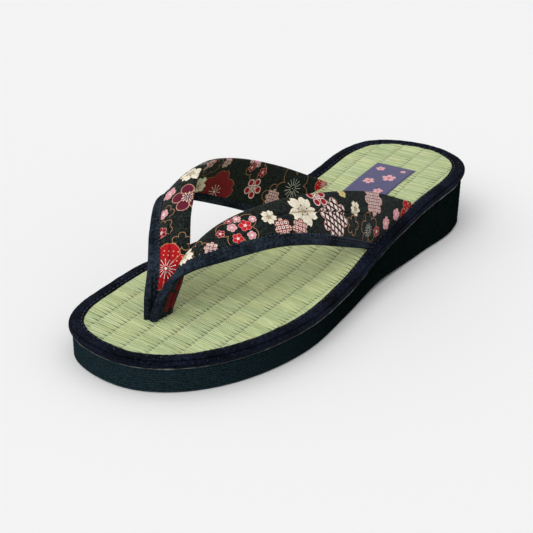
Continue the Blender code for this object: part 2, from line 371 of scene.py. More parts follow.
def tube_faces(rings, per_ring):
    """Faces of a run of rings, closed at both ends."""
    faces = []
    for ring in range(rings - 1):
        faces.extend(bridge(ring * per_ring, (ring + 1) * per_ring, per_ring))
    last = (rings - 1) * per_ring
    return faces + [tuple(range(per_ring)), tuple(range(last, last + per_ring))]


def grid_faces(rows, columns, base=0, flip=False):
    """Quads of a grid of points, row by row."""
    stride = columns + 1
    faces = []
    for row in range(rows):
        for column in range(columns):
            start = base + row * stride + column
            quad = (start, start + 1, start + stride + 1, start + stride)
            faces.append(quad[::-1] if flip else quad)
    return faces


def grid_rim(rows, columns):
    """Numbers of a grid's outer points, in order round it."""
    stride = columns + 1
    rim = list(range(stride))
    rim += [row * stride + columns for row in range(1, rows + 1)]
    rim += [rows * stride + column for column in range(columns - 1, -1, -1)]
    return rim + [row * stride for row in range(rows - 1, 0, -1)]


def cross_cap(start, steps):
    """Strips across a closed outline ring, pairing the near side with the far side."""
    count = 2 * steps
    faces = [(start, start + 1, start + count - 1)]
    for index in range(1, steps - 1):
        low = start + count - index
        faces.append((start + index, start + index + 1, low - 1, low))
    faces.append((start + steps - 1, start + steps, start + steps + 1))
    return faces


def set_run(mesh, along, across, name="run"):
    """UV map of two values per vertex: by default the metres along and across the piece."""
    layer = mesh.uv_layers.new(name=name)
    corner = np.empty(len(mesh.loops), dtype=np.int32)
    mesh.loops.foreach_get("vertex_index", corner)
    values = np.stack([np.asarray(along)[corner], np.asarray(across)[corner]], axis=-1)
    layer.data.foreach_set("uv", values.astype(np.float32).ravel())


# Strap surface.

def edge_point(table, column, place):
    """Point on one edge of a strap; the ends sink straight down into the footbed."""
    first = table[0][0]
    last = table[-1][0]
    inside = clamp(place, first, last)
    x = smooth_column(table, column, inside) * BALL_WIDTH / 2
    y = smooth_column(table, column + 1, inside) * LENGTH
    z = smooth_column(table, column + 2, inside) * STRAP_PEAK
    floor = footbed_top(y) - STRAP_SINK
    if place < first:
        z += (floor - z) * (first - place) / first
    if place > last:
        z += (floor - z) * (place - last) / (1.0 - last)
    return Vector((x, y, z))


class StrapRun:
    """One half of the strap sampled along its length, with points found by place and distance."""

    def __init__(self, side_name, rings):
        self.name = side_name
        self.table, self.side = SIDES[side_name]
        self.rings = rings
        self.places = [step / (rings - 1) for step in range(rings)]
        self.rows = [self.frame(place) for place in self.places]
        middle = [row[0] + row[1] * row[2] * 0.5 for row in self.rows]
        self.length = [0.0]
        for index in range(1, rings):
            self.length.append(self.length[-1] + (middle[index] - middle[index - 1]).length)

    def frame(self, place):
        front = edge_point(self.table, 1, place)
        rear = edge_point(self.table, 4, place)
        before = clamp(place - DIRECTION_REACH)
        after = clamp(place + DIRECTION_REACH)
        across = rear - front
        width = across.length
        across.normalize()
        along_front = edge_point(self.table, 1, after) - edge_point(self.table, 1, before)
        along_rear = edge_point(self.table, 4, after) - edge_point(self.table, 4, before)
        return front, across, width, along_front.normalized(), along_rear.normalized(), place

    def normal(self, row, share):
        along = row[3].lerp(row[4], clamp(share)).normalized()
        return along.cross(row[1]).normalized() * self.side, along

    def point(self, row, reach, lift):
        """reach is the distance from the piped front edge, lift the height over the middle layer."""
        front, across, width = row[0], row[1], row[2]
        share = (reach - CLOTH_START) / max(width - CLOTH_START, 1e-6)
        normal = self.normal(row, share)[0]
        bulge = STRAP_CROWN * math.sin(math.pi * row[5]) ** 2 * 4 * clamp(share) * (1 - clamp(share))
        return front + across * reach + normal * (bulge + lift)


# Printed flowers. Sizes in each style are shares of the flower's radius: petal count, distance of a
# petal's centre, petal radius, notch radius, stamen length; then the pattern, the widths in mm of the
# outline and of the line between petals, and the fill and line colours.
PLAIN, LOZENGE, FRET, SPECKS, RAYS, PALE, BEADS = range(7)
STYLES = {
    "cream_cherry": (5, 0.61, 0.370, 0.14, 0.30, PALE, 0.07, 0.14, "F1E8D2", "9A8052"),
    "cream_small": (5, 0.60, 0.370, 0.13, 0.22, PALE, 0.07, 0.10, "EDE4CE", "9A8052"),
    "red_large": (5, 0.58, 0.44, 0.00, 0.36, SPECKS, 0.26, 0.20, "B0131C", "C98F66"),
    # The next style is the big red print darkened as painted shade, for the shaded under face of the near
    # band at the toe post.
    "red_in_painted_shade": (5, 0.58, 0.44, 0.00, 0.00, PLAIN, 0.26, 0.30, "620D13", "2A0608"),
    "crimson_large": (5, 0.58, 0.46, 0.10, 0.30, PLAIN, 0.26, 0.00, "7C181E", "A26A54"),
    "magenta_plum": (5, 0.60, 0.37, 0.00, 0.34, PLAIN, 0.36, 0.00, "64162F", "C3937A"),
    "outlined_plum": (5, 0.63, 0.345, 0.00, 0.24, PLAIN, 0.50, 0.00, "97101D", "E7C4BE"),
    "red_small": (5, 0.57, 0.40, 0.00, 0.20, PLAIN, 0.12, 0.12, "CB232B", "EBA9A6"),
    "pink_small": (5, 0.58, 0.39, 0.10, 0.18, PLAIN, 0.12, 0.14, "E09AA2", "F6D8D4"),
    "dark_small": (5, 0.57, 0.40, 0.00, 0.24, PLAIN, 0.16, 0.14, "8E1726", "DB9C96"),
    "lozenge_bloom": (8, 0.74, 0.26, 0.00, 0.00, LOZENGE, 0.34, 0.00, "480C14", "CFA094"),
    "fret_bloom": (8, 0.76, 0.24, 0.00, 0.00, FRET, 0.26, 0.00, "8C3A3C", "E0B0A6"),
    "pink_fan": (7, 0.72, 0.28, 0.00, 0.00, BEADS, 0.22, 0.00, "97352F", "D99B8A"),
    "yellow_small": (5, 0.56, 0.40, 0.10, 0.00, PALE, 0.12, 0.00, "D8C585", "8E7448"),
    "burst": (5, 0.50, 0.50, 0.00, 0.92, RAYS, 0.10, 0.00, "101512", "ECEADC"),
    "gold_ring": (5, 0.62, 0.40, 0.00, 0.00, RAYS, 0.28, 0.00, "101512", "A57A56"),
}
CORE_SHARE = 0.45

# Flowers read off the photograph: band, face, place along, share across, radius in mm, turn, style.
FLOWERS = (
    ("near", 1, 0.238, 0.48, 4.8, 20, "cream_cherry"),
    ("near", 1, 0.322, 0.10, 3.0, 60, "fret_bloom"),
    ("near", 1, 0.354, 0.50, 2.0, 10, "dark_small"),
    ("near", 1, 0.383, 0.84, 1.8, 30, "dark_small"),
    ("near", 1, 0.402, 0.78, 2.2, 0, "pink_small"),
    ("near", 1, 0.387, 0.55, 2.3, 40, "pink_small"),
    ("near", 1, 0.421, 0.46, 2.9, 15, "red_small"),
    ("near", 1, 0.397, 0.14, 2.5, 50, "red_small"),
    ("near", 1, 0.442, 0.58, 1.8, 25, "pink_small"),
    ("near", 1, 0.435, 0.12, 2.1, 5, "pink_small"),
    ("near", 1, 0.485, 0.50, 3.8, 50, "cream_small"),
    ("near", 1, 0.528, 0.16, 4.2, 90, "pink_fan"),
    ("near", 1, 0.590, 0.10, 4.3, 70, "pink_fan"),
    ("near", 1, 0.592, 0.54, 8.0, 52, "cream_cherry"),
    ("near", 1, 0.636, 0.88, 5.4, 18, "outlined_plum"),
    ("near", 1, 0.712, 0.38, 9.2, 30, "lozenge_bloom"),
    ("near", 1, 0.715, 0.93, 2.6, 0, "yellow_small"),
    ("near", 1, 0.780, 0.60, 3.7, 45, "cream_small"),
    ("near", 1, 0.832, 0.82, 7.0, 0, "fret_bloom"),
    ("near", 1, 0.878, 0.22, 3.2, 0, "burst"),
    ("near", 1, 0.925, 0.44, 3.2, 20, "pink_small"),
    ("near", 1, 0.915, 0.24, 2.6, 50, "dark_small"),
    ("near", 1, 0.935, 0.66, 3.0, 10, "pink_small"),
    ("near", 1, 0.975, 0.84, 6.2, 40, "red_large"),
    ("far", 1, 0.205, 0.24, 11.0, 0, "red_large"),
    ("far", 1, 0.325, 0.08, 2.9, 10, "dark_small"),
    ("far", 1, 0.384, 0.14, 2.7, 30, "pink_small"),
    ("far", 1, 0.396, 0.88, 7.8, 12, "magenta_plum"),
    ("far", 1, 0.450, 0.26, 3.8, 40, "pink_small"),
    ("far", 1, 0.478, 0.80, 5.6, 15, "cream_cherry"),
    ("far", 1, 0.530, 0.93, 3.0, 0, "burst"),
    ("far", 0, 0.651, 0.18, 5.6, 10, "cream_small"),
    ("far", 0, 0.735, 0.10, 11.0, 52, "crimson_large"),
    ("far", 0, 0.825, 0.38, 5.2, 5, "outlined_plum"),
    ("far", 0, 0.898, 0.29, 4.2, 0, "fret_bloom"),
    ("far", 0, 0.905, 0.62, 5.0, 0, "burst"),
    ("far", 0, 0.745, 0.84, 2.3, 10, "dark_small"),
    ("far", 0, 0.745, 0.97, 2.6, 40, "pink_small"),
    ("far", 0, 0.790, 0.78, 2.6, 70, "dark_small"),
    ("far", 0, 0.725, 0.99, 2.0, 20, "pink_small"),
    ("far", 0, 0.640, 0.91, 3.2, 10, "fret_bloom"),
    ("far", 0, 0.950, 0.92, 6.0, 0, "red_large"),
    ("near", 0, 0.100, 0.30, 4.6, 35, "red_in_painted_shade"),
    ("near", 0, 0.150, 0.76, 4.4, 10, "red_in_painted_shade"),
)
# Stretch of each face that the photograph shows, which is left as charted.
CHARTED = {("near", 1): (0.20, 1.0), ("far", 1): (0.0, 0.57),
           ("far", 0): (0.56, 1.0), ("near", 0): (0.0, 0.2)}
RINGS = (
    ("near", 1, 0.402, 0.46, 9.0, 20, "gold_ring"),
    ("near", 1, 0.875, 0.26, 7.0, 30, "gold_ring"),
    ("near", 1, 0.800, 0.26, 4.5, 0, "gold_ring"),
    ("near", 1, 0.290, 0.30, 4.0, 0, "gold_ring"),
    ("far", 1, 0.335, 0.16, 4.6, 20, "gold_ring"),
    ("far", 1, 0.380, 0.20, 4.6, 50, "gold_ring"),
    ("far", 1, 0.275, 0.75, 4.2, 0, "gold_ring"),
    ("far", 0, 0.905, 0.62, 10.5, 15, "gold_ring"),
    ("far", 0, 0.898, 0.29, 6.4, 40, "gold_ring"),
    ("far", 0, 0.760, 0.86, 6.6, 10, "gold_ring"),
    ("far", 0, 0.600, 0.78, 6.0, 20, "gold_ring"),
)


def petal_distance(x, y, style, size):
    """Signed distance in mm from a flower's edge, negative inside. The shader draws the same form."""
    count, reach, radius, notch = STYLES[style][:4]
    sector = 2 * math.pi / count
    angle = np.arctan2(y, x)
    folded = np.mod(angle + sector / 2, sector) - sector / 2
    rho = np.hypot(x, y)
    px = rho * np.cos(folded)
    py = rho * np.sin(folded)
    core = reach * size * (1.0 if count > 6 or STYLES[style][5] == RAYS else CORE_SHARE)
    distance = np.minimum(np.hypot(px - reach * size, py) - radius * size, rho - core)
    if notch > 0.0:
        distance = np.maximum(distance, notch * size - np.hypot(px - (reach + radius) * size, py))
    return distance


class Flower:
    """One printed flower laid on a band: its centre and the two directions it is drawn in."""

    def __init__(self, run, face, place, share, size, turn, style):
        row = run.frame(place)
        lift = STRAP_THICKNESS / 2 if face else -STRAP_THICKNESS / 2
        reach = CLOTH_START + (row[2] - CLOTH_START) * share
        self.centre = np.array(run.point(row, reach, lift)) * 1000
        normal, along = run.normal(row, share)
        side = normal.cross(along)
        turned = math.radians(turn)
        first = along * math.cos(turned) + side * math.sin(turned)
        second = side * math.cos(turned) - along * math.sin(turned)
        self.axes = np.array([first, second])
        self.normal = np.array(normal) * (1 if face else -1)
        self.face = face
        self.size = size
        self.style = style

    def local(self, points):
        """Flower coordinates in mm of points in mm, unrolled so that distances hold on the curve."""
        offset = points - self.centre
        flat = offset @ self.axes.T
        true = np.linalg.norm(offset, axis=-1)
        drawn = np.maximum(np.linalg.norm(flat, axis=-1), 1e-6)
        return flat * (true / drawn)[..., None]


def scattered(run, face, kept, generator):
    """Fills the rest of one face with the same flowers, clear of those already placed."""
    sizes = ((8.0, ("cream_cherry", "red_large", "crimson_large", "lozenge_bloom", "magenta_plum")),
             (5.2, ("fret_bloom", "outlined_plum", "cream_small", "burst", "pink_fan")),
             (2.5, ("red_small", "pink_small", "dark_small", "yellow_small", "cream_small")))
    made = list(kept)
    first, last = CHARTED[(run.name, face)]
    for size, styles in sizes:
        for _ in range(200):
            place = generator.uniform(0.03, 0.99)
            if first <= place <= last:
                continue
            share = generator.uniform(0.0, 1.0)
            radius = size * generator.uniform(0.85, 1.15)
            trial = Flower(run, face, place, share, radius, generator.uniform(0, 72),
                           generator.choice(styles))
            gaps = [np.linalg.norm(trial.centre - other.centre) - (other.size + radius) for other in made]
            if not gaps or min(gaps) > 0.9:
                made.append(trial)
    return made


def strap_section(width, columns=72, edge=7):
    """Section of a band as (distance from the front edge, lift, face), rounded at the rear edge."""
    half = STRAP_THICKNESS / 2
    flat = []
    for column in range(columns + 1):
        share = column / columns
        reach = CLOTH_TUCK + (width - REAR_ROUND - CLOTH_TUCK) * share
        flat.append((reach, half * (1 - 0.42 * abs(2 * share - 1) ** 5)))
    section = [(reach, lift, 1) for reach, lift in flat]
    rim = half * 0.58
    for turn in range(1, edge):
        angle = math.pi / 2 - math.pi * turn / edge
        reach = width - REAR_ROUND + REAR_ROUND * math.cos(angle)
        section.append((reach, rim * math.sin(angle), 1 if angle > 0 else 0))
    section += [(reach, -lift, 0) for reach, lift in flat[::-1]]
    return section + [(CLOTH_TUCK - 0.0002, 0.0, 0)]


def strap_mesh(run):
    """Closed band, with each point's metres along and across it and the face that it lies on."""
    points = []
    along = []
    across = []
    side_of = []
    for index, row in enumerate(run.rows):
        travelled = run.length[index]
        section = strap_section(row[2])
        for reach, lift, face in section:
            relief = strap_relief(run, travelled, reach, row[2], face)
            points.append(run.point(row, reach, lift + (relief if face else -relief)))
            along.append(travelled)
            across.append(reach if face else -reach)
            side_of.append(face)
    return points, tube_faces(run.rings, len(section)), along, across, side_of


def strap_relief(run, travelled, reach, width, face):
    """Soft unevenness of padded cloth, a lengthwise crease and a shallow dip by the seam, in metres."""
    seed = 3.7 if run.name == "near" else 11.2
    seed += 0.0 if face else 5.1
    soft = rough(travelled * 55, reach * 120, seed) * 0.00022
    small = rough(travelled * 260, reach * 420, seed + 9) * 0.00007
    crepe = rough(travelled * 900, reach * 1500, seed + 2) * 0.00005
    share = (reach - PIPING_WIDTH) / max(width - PIPING_WIDTH, 1e-6)
    crease_at = 0.36 if run.name == "far" else 0.52
    offset = (share - crease_at) * width
    crease = -CREASE_DEPTH * crease_strength(run, travelled) * hill(offset, CREASE_SPREAD)
    if run.name == "near" and not face:
        strength = clamp((0.24 - travelled / run.length[-1]) * 9)
        crease = -POST_FOLD_DEPTH * strength * hill((share - 0.50) * width, POST_FOLD_SPREAD)
    dip = -SEAM_DIP * hill(reach - PIPING_WIDTH, SEAM_DIP_SPREAD)
    fade = clamp(share * 12) * clamp((1 - share) * 14)
    return (soft + small + crepe) * fade + crease + dip


def crease_strength(run, travelled):
    share = travelled / run.length[-1]
    if run.name == "far":
        return 0.6 * clamp((0.34 - share) * 8)
    return clamp((share - 0.42) * 12) * clamp((0.90 - share) * 6)


def print_flowers(item, side_of, flowers, layer):
    """Writes each face's flower into corner attributes: place in the flower, form, look and colours."""
    mesh = item.data
    total = len(mesh.loops)
    corner = np.empty(total, dtype=np.int32)
    mesh.loops.foreach_get("vertex_index", corner)
    co = np.empty(len(mesh.vertices) * 3)
    mesh.vertices.foreach_get("co", co)
    co = co.reshape(-1, 3) * 1000 - np.array([SHIFT * 1000, 0, 0])
    count = len(mesh.polygons)
    centre = np.empty(count * 3)
    mesh.polygons.foreach_get("center", centre)
    centre = centre.reshape(-1, 3) * 1000 - np.array([SHIFT * 1000, 0, 0])
    starts = np.empty(count, dtype=np.int32)
    sizes = np.empty(count, dtype=np.int32)
    mesh.polygons.foreach_get("loop_start", starts)
    mesh.polygons.foreach_get("loop_total", sizes)
    face_of_corner = np.repeat(np.arange(count), sizes)
    side = np.asarray(side_of)[corner]
    face_side = np.add.reduceat(side, starts) > sizes / 2
    chosen = np.full(count, -1)
    for index, flower in enumerate(flowers):
        near_by = np.linalg.norm(centre - flower.centre, axis=-1) < flower.size * 1.15 + 1.0
        open_faces = (chosen < 0) & near_by & (face_side == bool(flower.face))
        if not open_faces.any():
            continue
        where = np.nonzero(open_faces)[0]
        flat = flower.local(centre[where])
        inside = petal_distance(flat[:, 0], flat[:, 1], flower.style, flower.size) < 0.42
        chosen[where[inside]] = index
    place = np.full((total, 3), 99.0)
    form = np.tile([5.0, 0.0, 0.0], (total, 1))
    look = np.zeros((total, 3))
    fill = np.zeros((total, 4))
    line = np.zeros((total, 4))
    owner = chosen[face_of_corner]
    for index, flower in enumerate(flowers):
        mine = owner == index
        if not mine.any():
            continue
        petals, reach, radius, notch, stamen, pattern, rim, seam, *codes = STYLES[flower.style]
        place[mine, :2] = flower.local(co[corner[mine]])
        place[mine, 2] = pattern
        form[mine] = (petals, reach * flower.size, radius * flower.size)
        look[mine] = (notch * flower.size, stamen * flower.size, flower.size)
        fill[mine] = (*colour(codes[0])[:3], rim)
        line[mine] = (*colour(codes[1])[:3], seam)
    for name, kind, values in (("place", "FLOAT_VECTOR", place), ("form", "FLOAT_VECTOR", form),
                               ("look", "FLOAT_VECTOR", look), ("fill", "FLOAT_COLOR", fill),
                               ("line", "FLOAT_COLOR", line)):
        attribute = mesh.attributes.new(layer + "_" + name, kind, "CORNER")
        key = "color" if kind == "FLOAT_COLOR" else "vector"
        attribute.data.foreach_set(key, values.astype(np.float32).ravel())


def flower_group():
    """Shader group that draws one layer of printed flowers over a ground colour."""
    tree = bpy.data.node_groups.new("printed_flower", "ShaderNodeTree")
    face = tree.interface
    for name, kind in (("Place", "Vector"), ("Form", "Vector"), ("Look", "Vector"), ("Fill", "Color"),
                       ("Line", "Color"), ("Rim", "Float"), ("Seam", "Float"), ("Ground", "Color")):
        face.new_socket(name, in_out="INPUT", socket_type="NodeSocket" + kind)
    face.new_socket("Color", in_out="OUTPUT", socket_type="NodeSocketColor")
    source = add(tree, "NodeGroupInput").outputs
    known = {"rim_width": source["Rim"], "seam_width": source["Seam"]}
    for name, parts in (("Place", ("x", "y", "pattern")), ("Form", ("count", "reach", "radius")),
                        ("Look", ("notch", "stamen", "size"))):
        split = add(tree, "ShaderNodeSeparateXYZ", {0: source[name]})
        known.update(zip(parts, split.outputs))
    for name, number in (("is_plain", PLAIN), ("is_lozenge", LOZENGE), ("is_fret", FRET),
                         ("is_specked", SPECKS), ("is_hollow", RAYS), ("is_pale", PALE),
                         ("is_beaded", BEADS)):
        wire(tree, "ShaderNodeMath", known, ((name, "COMPARE", "pattern", number, 0.5),))
    wire(tree, "ShaderNodeMath", known, PETAL_ROWS + STAMEN_ROWS + WEAVE_ROWS)
    shaded = add(tree, "ShaderNodeVectorMath", {0: source["Fill"], "Scale": known["shade"]},
                 operation="SCALE")
    threads = add(tree, "ShaderNodeMix", {0: known["is_pale"], 6: colour("F2E6DE"), 7: source["Line"]},
                  data_type="RGBA")
    layers = ((known["figures"], colour("F2E6DE")), (known["specks"], colour("E9B98E")),
              (known["lines"], source["Line"]), (known["petal_stamens"], threads.outputs[2]))
    body = shaded.outputs[0]
    for share, top in layers:
        body = add(tree, "ShaderNodeMix", {0: share, 6: body, 7: top}, data_type="RGBA").outputs[2]
    result = source["Ground"]
    for share, top in ((known["solid"], body), (known["hollow_lines"], source["Line"])):
        result = add(tree, "ShaderNodeMix", {0: share, 6: result, 7: top}, data_type="RGBA").outputs[2]
    add(tree, "NodeGroupOutput", {"Color": result})
    return tree


# The chains of sums behind flower_group. The first folds the plane into one petal and finds how far a
# point lies from the flower's edge, the outline and the line between petals.
PETAL_ROWS = (
    *distance_rows("rho", "x", "y"),
    ("angle", "ARCTAN2", "y", "x"),
    ("sector", "DIVIDE", 2 * math.pi, "count"),
    ("half", "MULTIPLY", "sector", 0.5),
    ("turned", "ADD", "angle", "half"),
    ("wrapped", "FLOORED_MODULO", "turned", "sector"),
    ("folded", "SUBTRACT", "wrapped", "half"),
    ("cosine", "COSINE", "folded"),
    ("sine", "SINE", "folded"),
    ("px", "MULTIPLY", "rho", "cosine"),
    ("py", "MULTIPLY", "rho", "sine"),
    ("from_petal", "SUBTRACT", "px", "reach"),
    *distance_rows("petal_length", "from_petal", "py"),
    ("petal", "SUBTRACT", "petal_length", "radius"),
    ("many", "GREATER_THAN", "count", 6.0),
    ("filled", "MAXIMUM", "many", "is_hollow"),
    ("core_share", "MULTIPLY_ADD", "filled", 1.0 - CORE_SHARE, CORE_SHARE),
    ("core_radius", "MULTIPLY", "core_share", "reach"),
    ("core", "SUBTRACT", "rho", "core_radius"),
    ("leaf", "MINIMUM", "petal", "core"),
    ("tip_place", "ADD", "reach", "radius"),
    ("from_tip", "SUBTRACT", "px", "tip_place"),
    *distance_rows("tip", "from_tip", "py"),
    ("cut", "SUBTRACT", "notch", "tip"),
    ("edge", "MAXIMUM", "leaf", "cut"),
    ("inside", "LESS_THAN", "edge", 0.0),
    ("rim_start", "MULTIPLY", "rim_width", -1.0),
    ("past_rim", "GREATER_THAN", "edge", "rim_start"),
    ("rim", "MULTIPLY", "past_rim", "inside"),
    ("off_axis", "ABSOLUTE", "folded"),
    ("to_seam", "SUBTRACT", "half", "off_axis"),
    ("seam_sine", "SINE", "to_seam"),
    ("seam_distance", "MULTIPLY", "rho", "seam_sine"),
    ("seam_half", "MULTIPLY", "seam_width", 0.5),
    ("seam", "LESS_THAN", "seam_distance", "seam_half"),
    ("petalled_a", "MAXIMUM", "is_plain", "is_specked"),
    ("petalled", "MAXIMUM", "petalled_a", "is_pale"),
    ("petal_seam", "MULTIPLY", "seam", "petalled"),
    ("lines", "MAXIMUM", "petal_seam", "rim"),
    ("shade_share", "DIVIDE", "rho", "size"),
    ("shade", "MULTIPLY_ADD", "shade_share", 0.30, 0.78),
)
# Three stamens to each petal, two in a plain flower: a thread with a bead at its tip.
STAMEN_ROWS = (
    ("rays_each", "SUBTRACT", 3.0, "is_plain"),
    ("step", "DIVIDE", "sector", "rays_each"),
    ("step_half", "MULTIPLY", "step", 0.5),
    ("ray_wrapped", "FLOORED_MODULO", "angle", "step"),
    ("ray", "SUBTRACT", "ray_wrapped", "step_half"),
    ("ray_cosine", "COSINE", "ray"),
    ("ray_sine", "SINE", "ray"),
    ("ray_x", "MULTIPLY", "rho", "ray_cosine"),
    ("ray_y", "MULTIPLY", "rho", "ray_sine"),
    ("ray_off", "ABSOLUTE", "ray_y"),
    ("thread_half", "MULTIPLY_ADD", "size", 0.004, 0.055),
    ("on_thread", "LESS_THAN", "ray_off", "thread_half"),
    ("below_tip", "LESS_THAN", "rho", "stamen"),
    ("root", "MULTIPLY", "stamen", 0.30),
    ("above_root", "GREATER_THAN", "rho", "root"),
    ("thread_a", "MULTIPLY", "on_thread", "below_tip"),
    ("thread", "MULTIPLY", "thread_a", "above_root"),
    ("from_bead", "SUBTRACT", "ray_x", "stamen"),
    *distance_rows("bead_length", "from_bead", "ray_y"),
    ("bead_radius", "MULTIPLY_ADD", "size", 0.012, 0.10),
    ("bead", "LESS_THAN", "bead_length", "bead_radius"),
    ("either_part", "MAXIMUM", "thread", "bead"),
    ("has_stamen", "GREATER_THAN", "stamen", 0.05),
    ("stamens", "MULTIPLY", "either_part", "has_stamen"),
    ("eye_radius", "MULTIPLY", "size", 0.05),
    ("eye_disc", "LESS_THAN", "rho", "eye_radius"),
    ("eye", "MULTIPLY", "eye_disc", "has_stamen"),
    ("centre_mark", "MAXIMUM", "stamens", "eye"),
    ("petal_stamens", "MULTIPLY", "centre_mark", "petalled"),
    ("not_hollow", "SUBTRACT", 1.0, "is_hollow"),
    ("solid", "MULTIPLY", "inside", "not_hollow"),
    ("no_stamen", "SUBTRACT", 1.0, "has_stamen"),
    ("ring_a", "MULTIPLY", "rim", "is_hollow"),
    ("ring", "MULTIPLY", "ring_a", "no_stamen"),
    ("burst", "MULTIPLY", "centre_mark", "is_hollow"),
    ("hollow_lines", "MAXIMUM", "ring", "burst"),
)
# Woven-looking fillings: lozenges 2.9 mm wide, key fret lines 1.4 mm apart, squares 1.9 mm apart.
WEAVE_ROWS = (
    ("tall", "DIVIDE", "y", 1.7),
    ("slope_up", "ADD", "x", "tall"),
    ("slope_down", "SUBTRACT", "x", "tall"),
    ("up_cell", "PINGPONG", "slope_up", 1.45),
    ("down_cell", "PINGPONG", "slope_down", 1.45),
    ("lozenge_edge", "MAXIMUM", "up_cell", "down_cell"),
    ("lozenge_in", "LESS_THAN", "lozenge_edge", 0.92),
    ("lozenge", "MULTIPLY", "lozenge_in", "is_lozenge"),
    ("fret_x", "PINGPONG", "x", 0.72),
    ("fret_y", "PINGPONG", "y", 0.72),
    ("fret_edge", "MAXIMUM", "fret_x", "fret_y"),
    ("fret_over", "GREATER_THAN", "fret_edge", 0.30),
    ("fret_under", "LESS_THAN", "fret_edge", 0.52),
    ("fret_loop", "MULTIPLY", "fret_over", "fret_under"),
    ("fret_dot", "LESS_THAN", "fret_edge", 0.14),
    ("fret_any", "MAXIMUM", "fret_loop", "fret_dot"),
    ("fret", "MULTIPLY", "fret_any", "is_fret"),
    ("square_x", "PINGPONG", "x", 0.95),
    ("square_y", "PINGPONG", "y", 0.95),
    ("square_edge", "MAXIMUM", "square_x", "square_y"),
    ("square_over", "GREATER_THAN", "square_edge", 0.34),
    ("square_under", "LESS_THAN", "square_edge", 0.68),
    ("square", "MULTIPLY", "square_over", "square_under"),
    ("beads", "MULTIPLY", "square", "is_beaded"),
    ("woven", "MAXIMUM", "lozenge", "fret"),
    ("figures", "MAXIMUM", "woven", "beads"),
    *distance_rows("speck_length", "square_x", "square_y"),
    ("speck_in", "LESS_THAN", "speck_length", 0.26),
    ("belt_low", "GREATER_THAN", "shade_share", 0.42),
    ("belt_high", "LESS_THAN", "shade_share", 0.80),
    ("belt", "MULTIPLY", "belt_low", "belt_high"),
    ("speck_belt", "MULTIPLY", "speck_in", "belt"),
    ("specks", "MULTIPLY", "speck_belt", "is_specked"),
)


# Materials.

def printed_cloth():
    """Printed cotton crepe: matt black-green ground with fine slubs, flat bright flowers, soft sheen."""
    item, tree, shader = finish_material("printed_cotton_crepe")
    group = flower_group()
    run = add(tree, "ShaderNodeUVMap", uv_map="run").outputs[0]
    threads = []
    for scale in ((420, 1700, 1), (1700, 420, 1)):
        grain = add(tree, "ShaderNodeMapping", {"Vector": run, "Scale": scale}).outputs[0]
        strand = add(tree, "ShaderNodeTexNoise", {"Vector": grain, "Scale": 1.0, "Detail": 2.0})
        threads.append(strand.outputs[0])
    slub = add(tree, "ShaderNodeMath", {0: threads[0], 1: threads[1]}, operation="MULTIPLY").outputs[0]
    patch = add(tree, "ShaderNodeTexNoise", {"Vector": run, "Scale": 90.0, "Detail": 3.0}).outputs[0]
    ground = add(tree, "ShaderNodeValToRGB", {"Fac": slub},
                 stops=((0.17, colour("020303")), (0.44, colour("2F3C37")))).outputs[0]
    tint = add(tree, "ShaderNodeMix", {0: patch, 6: colour("C8D4CC"), 7: colour("FFFFFF")},
               data_type="RGBA").outputs[2]
    result = add(tree, "ShaderNodeMix", {0: 1.0, 6: ground, 7: tint}, data_type="RGBA",
                 blend_type="MULTIPLY").outputs[2]
    for layer in ("under", "over"):
        step = add(tree, "ShaderNodeGroup", node_tree=group)
        for name in ("place", "form", "look"):
            source = add(tree, "ShaderNodeAttribute", attribute_name=layer + "_" + name)
            feed(tree, step, {name.title(): source.outputs["Vector"]})
        for name, width in (("fill", "Rim"), ("line", "Seam")):
            source = add(tree, "ShaderNodeAttribute", attribute_name=layer + "_" + name)
            feed(tree, step, {name.title(): source.outputs["Color"], width: source.outputs["Alpha"]})
        feed(tree, step, {"Ground": result})
        result = step.outputs["Color"]
    woven = add(tree, "ShaderNodeMapRange", {"Value": slub, "From Min": 0.12, "From Max": 0.34,
                                             "To Min": 0.72, "To Max": 1.08}).outputs[0]
    final = add(tree, "ShaderNodeMix", {0: 1.0, 6: result, 7: woven}, data_type="RGBA",
                blend_type="MULTIPLY").outputs[2]
    bump = add(tree, "ShaderNodeBump", {"Height": slub, "Strength": 0.55, "Distance": 0.00035}).outputs[0]
    feed(tree, shader, {"Base Color": final, "Normal": bump, "Roughness": 0.85, "Specular IOR Level": 0.16,
                        "Sheen Weight": 0.03, "Sheen Roughness": 0.5})
    return item


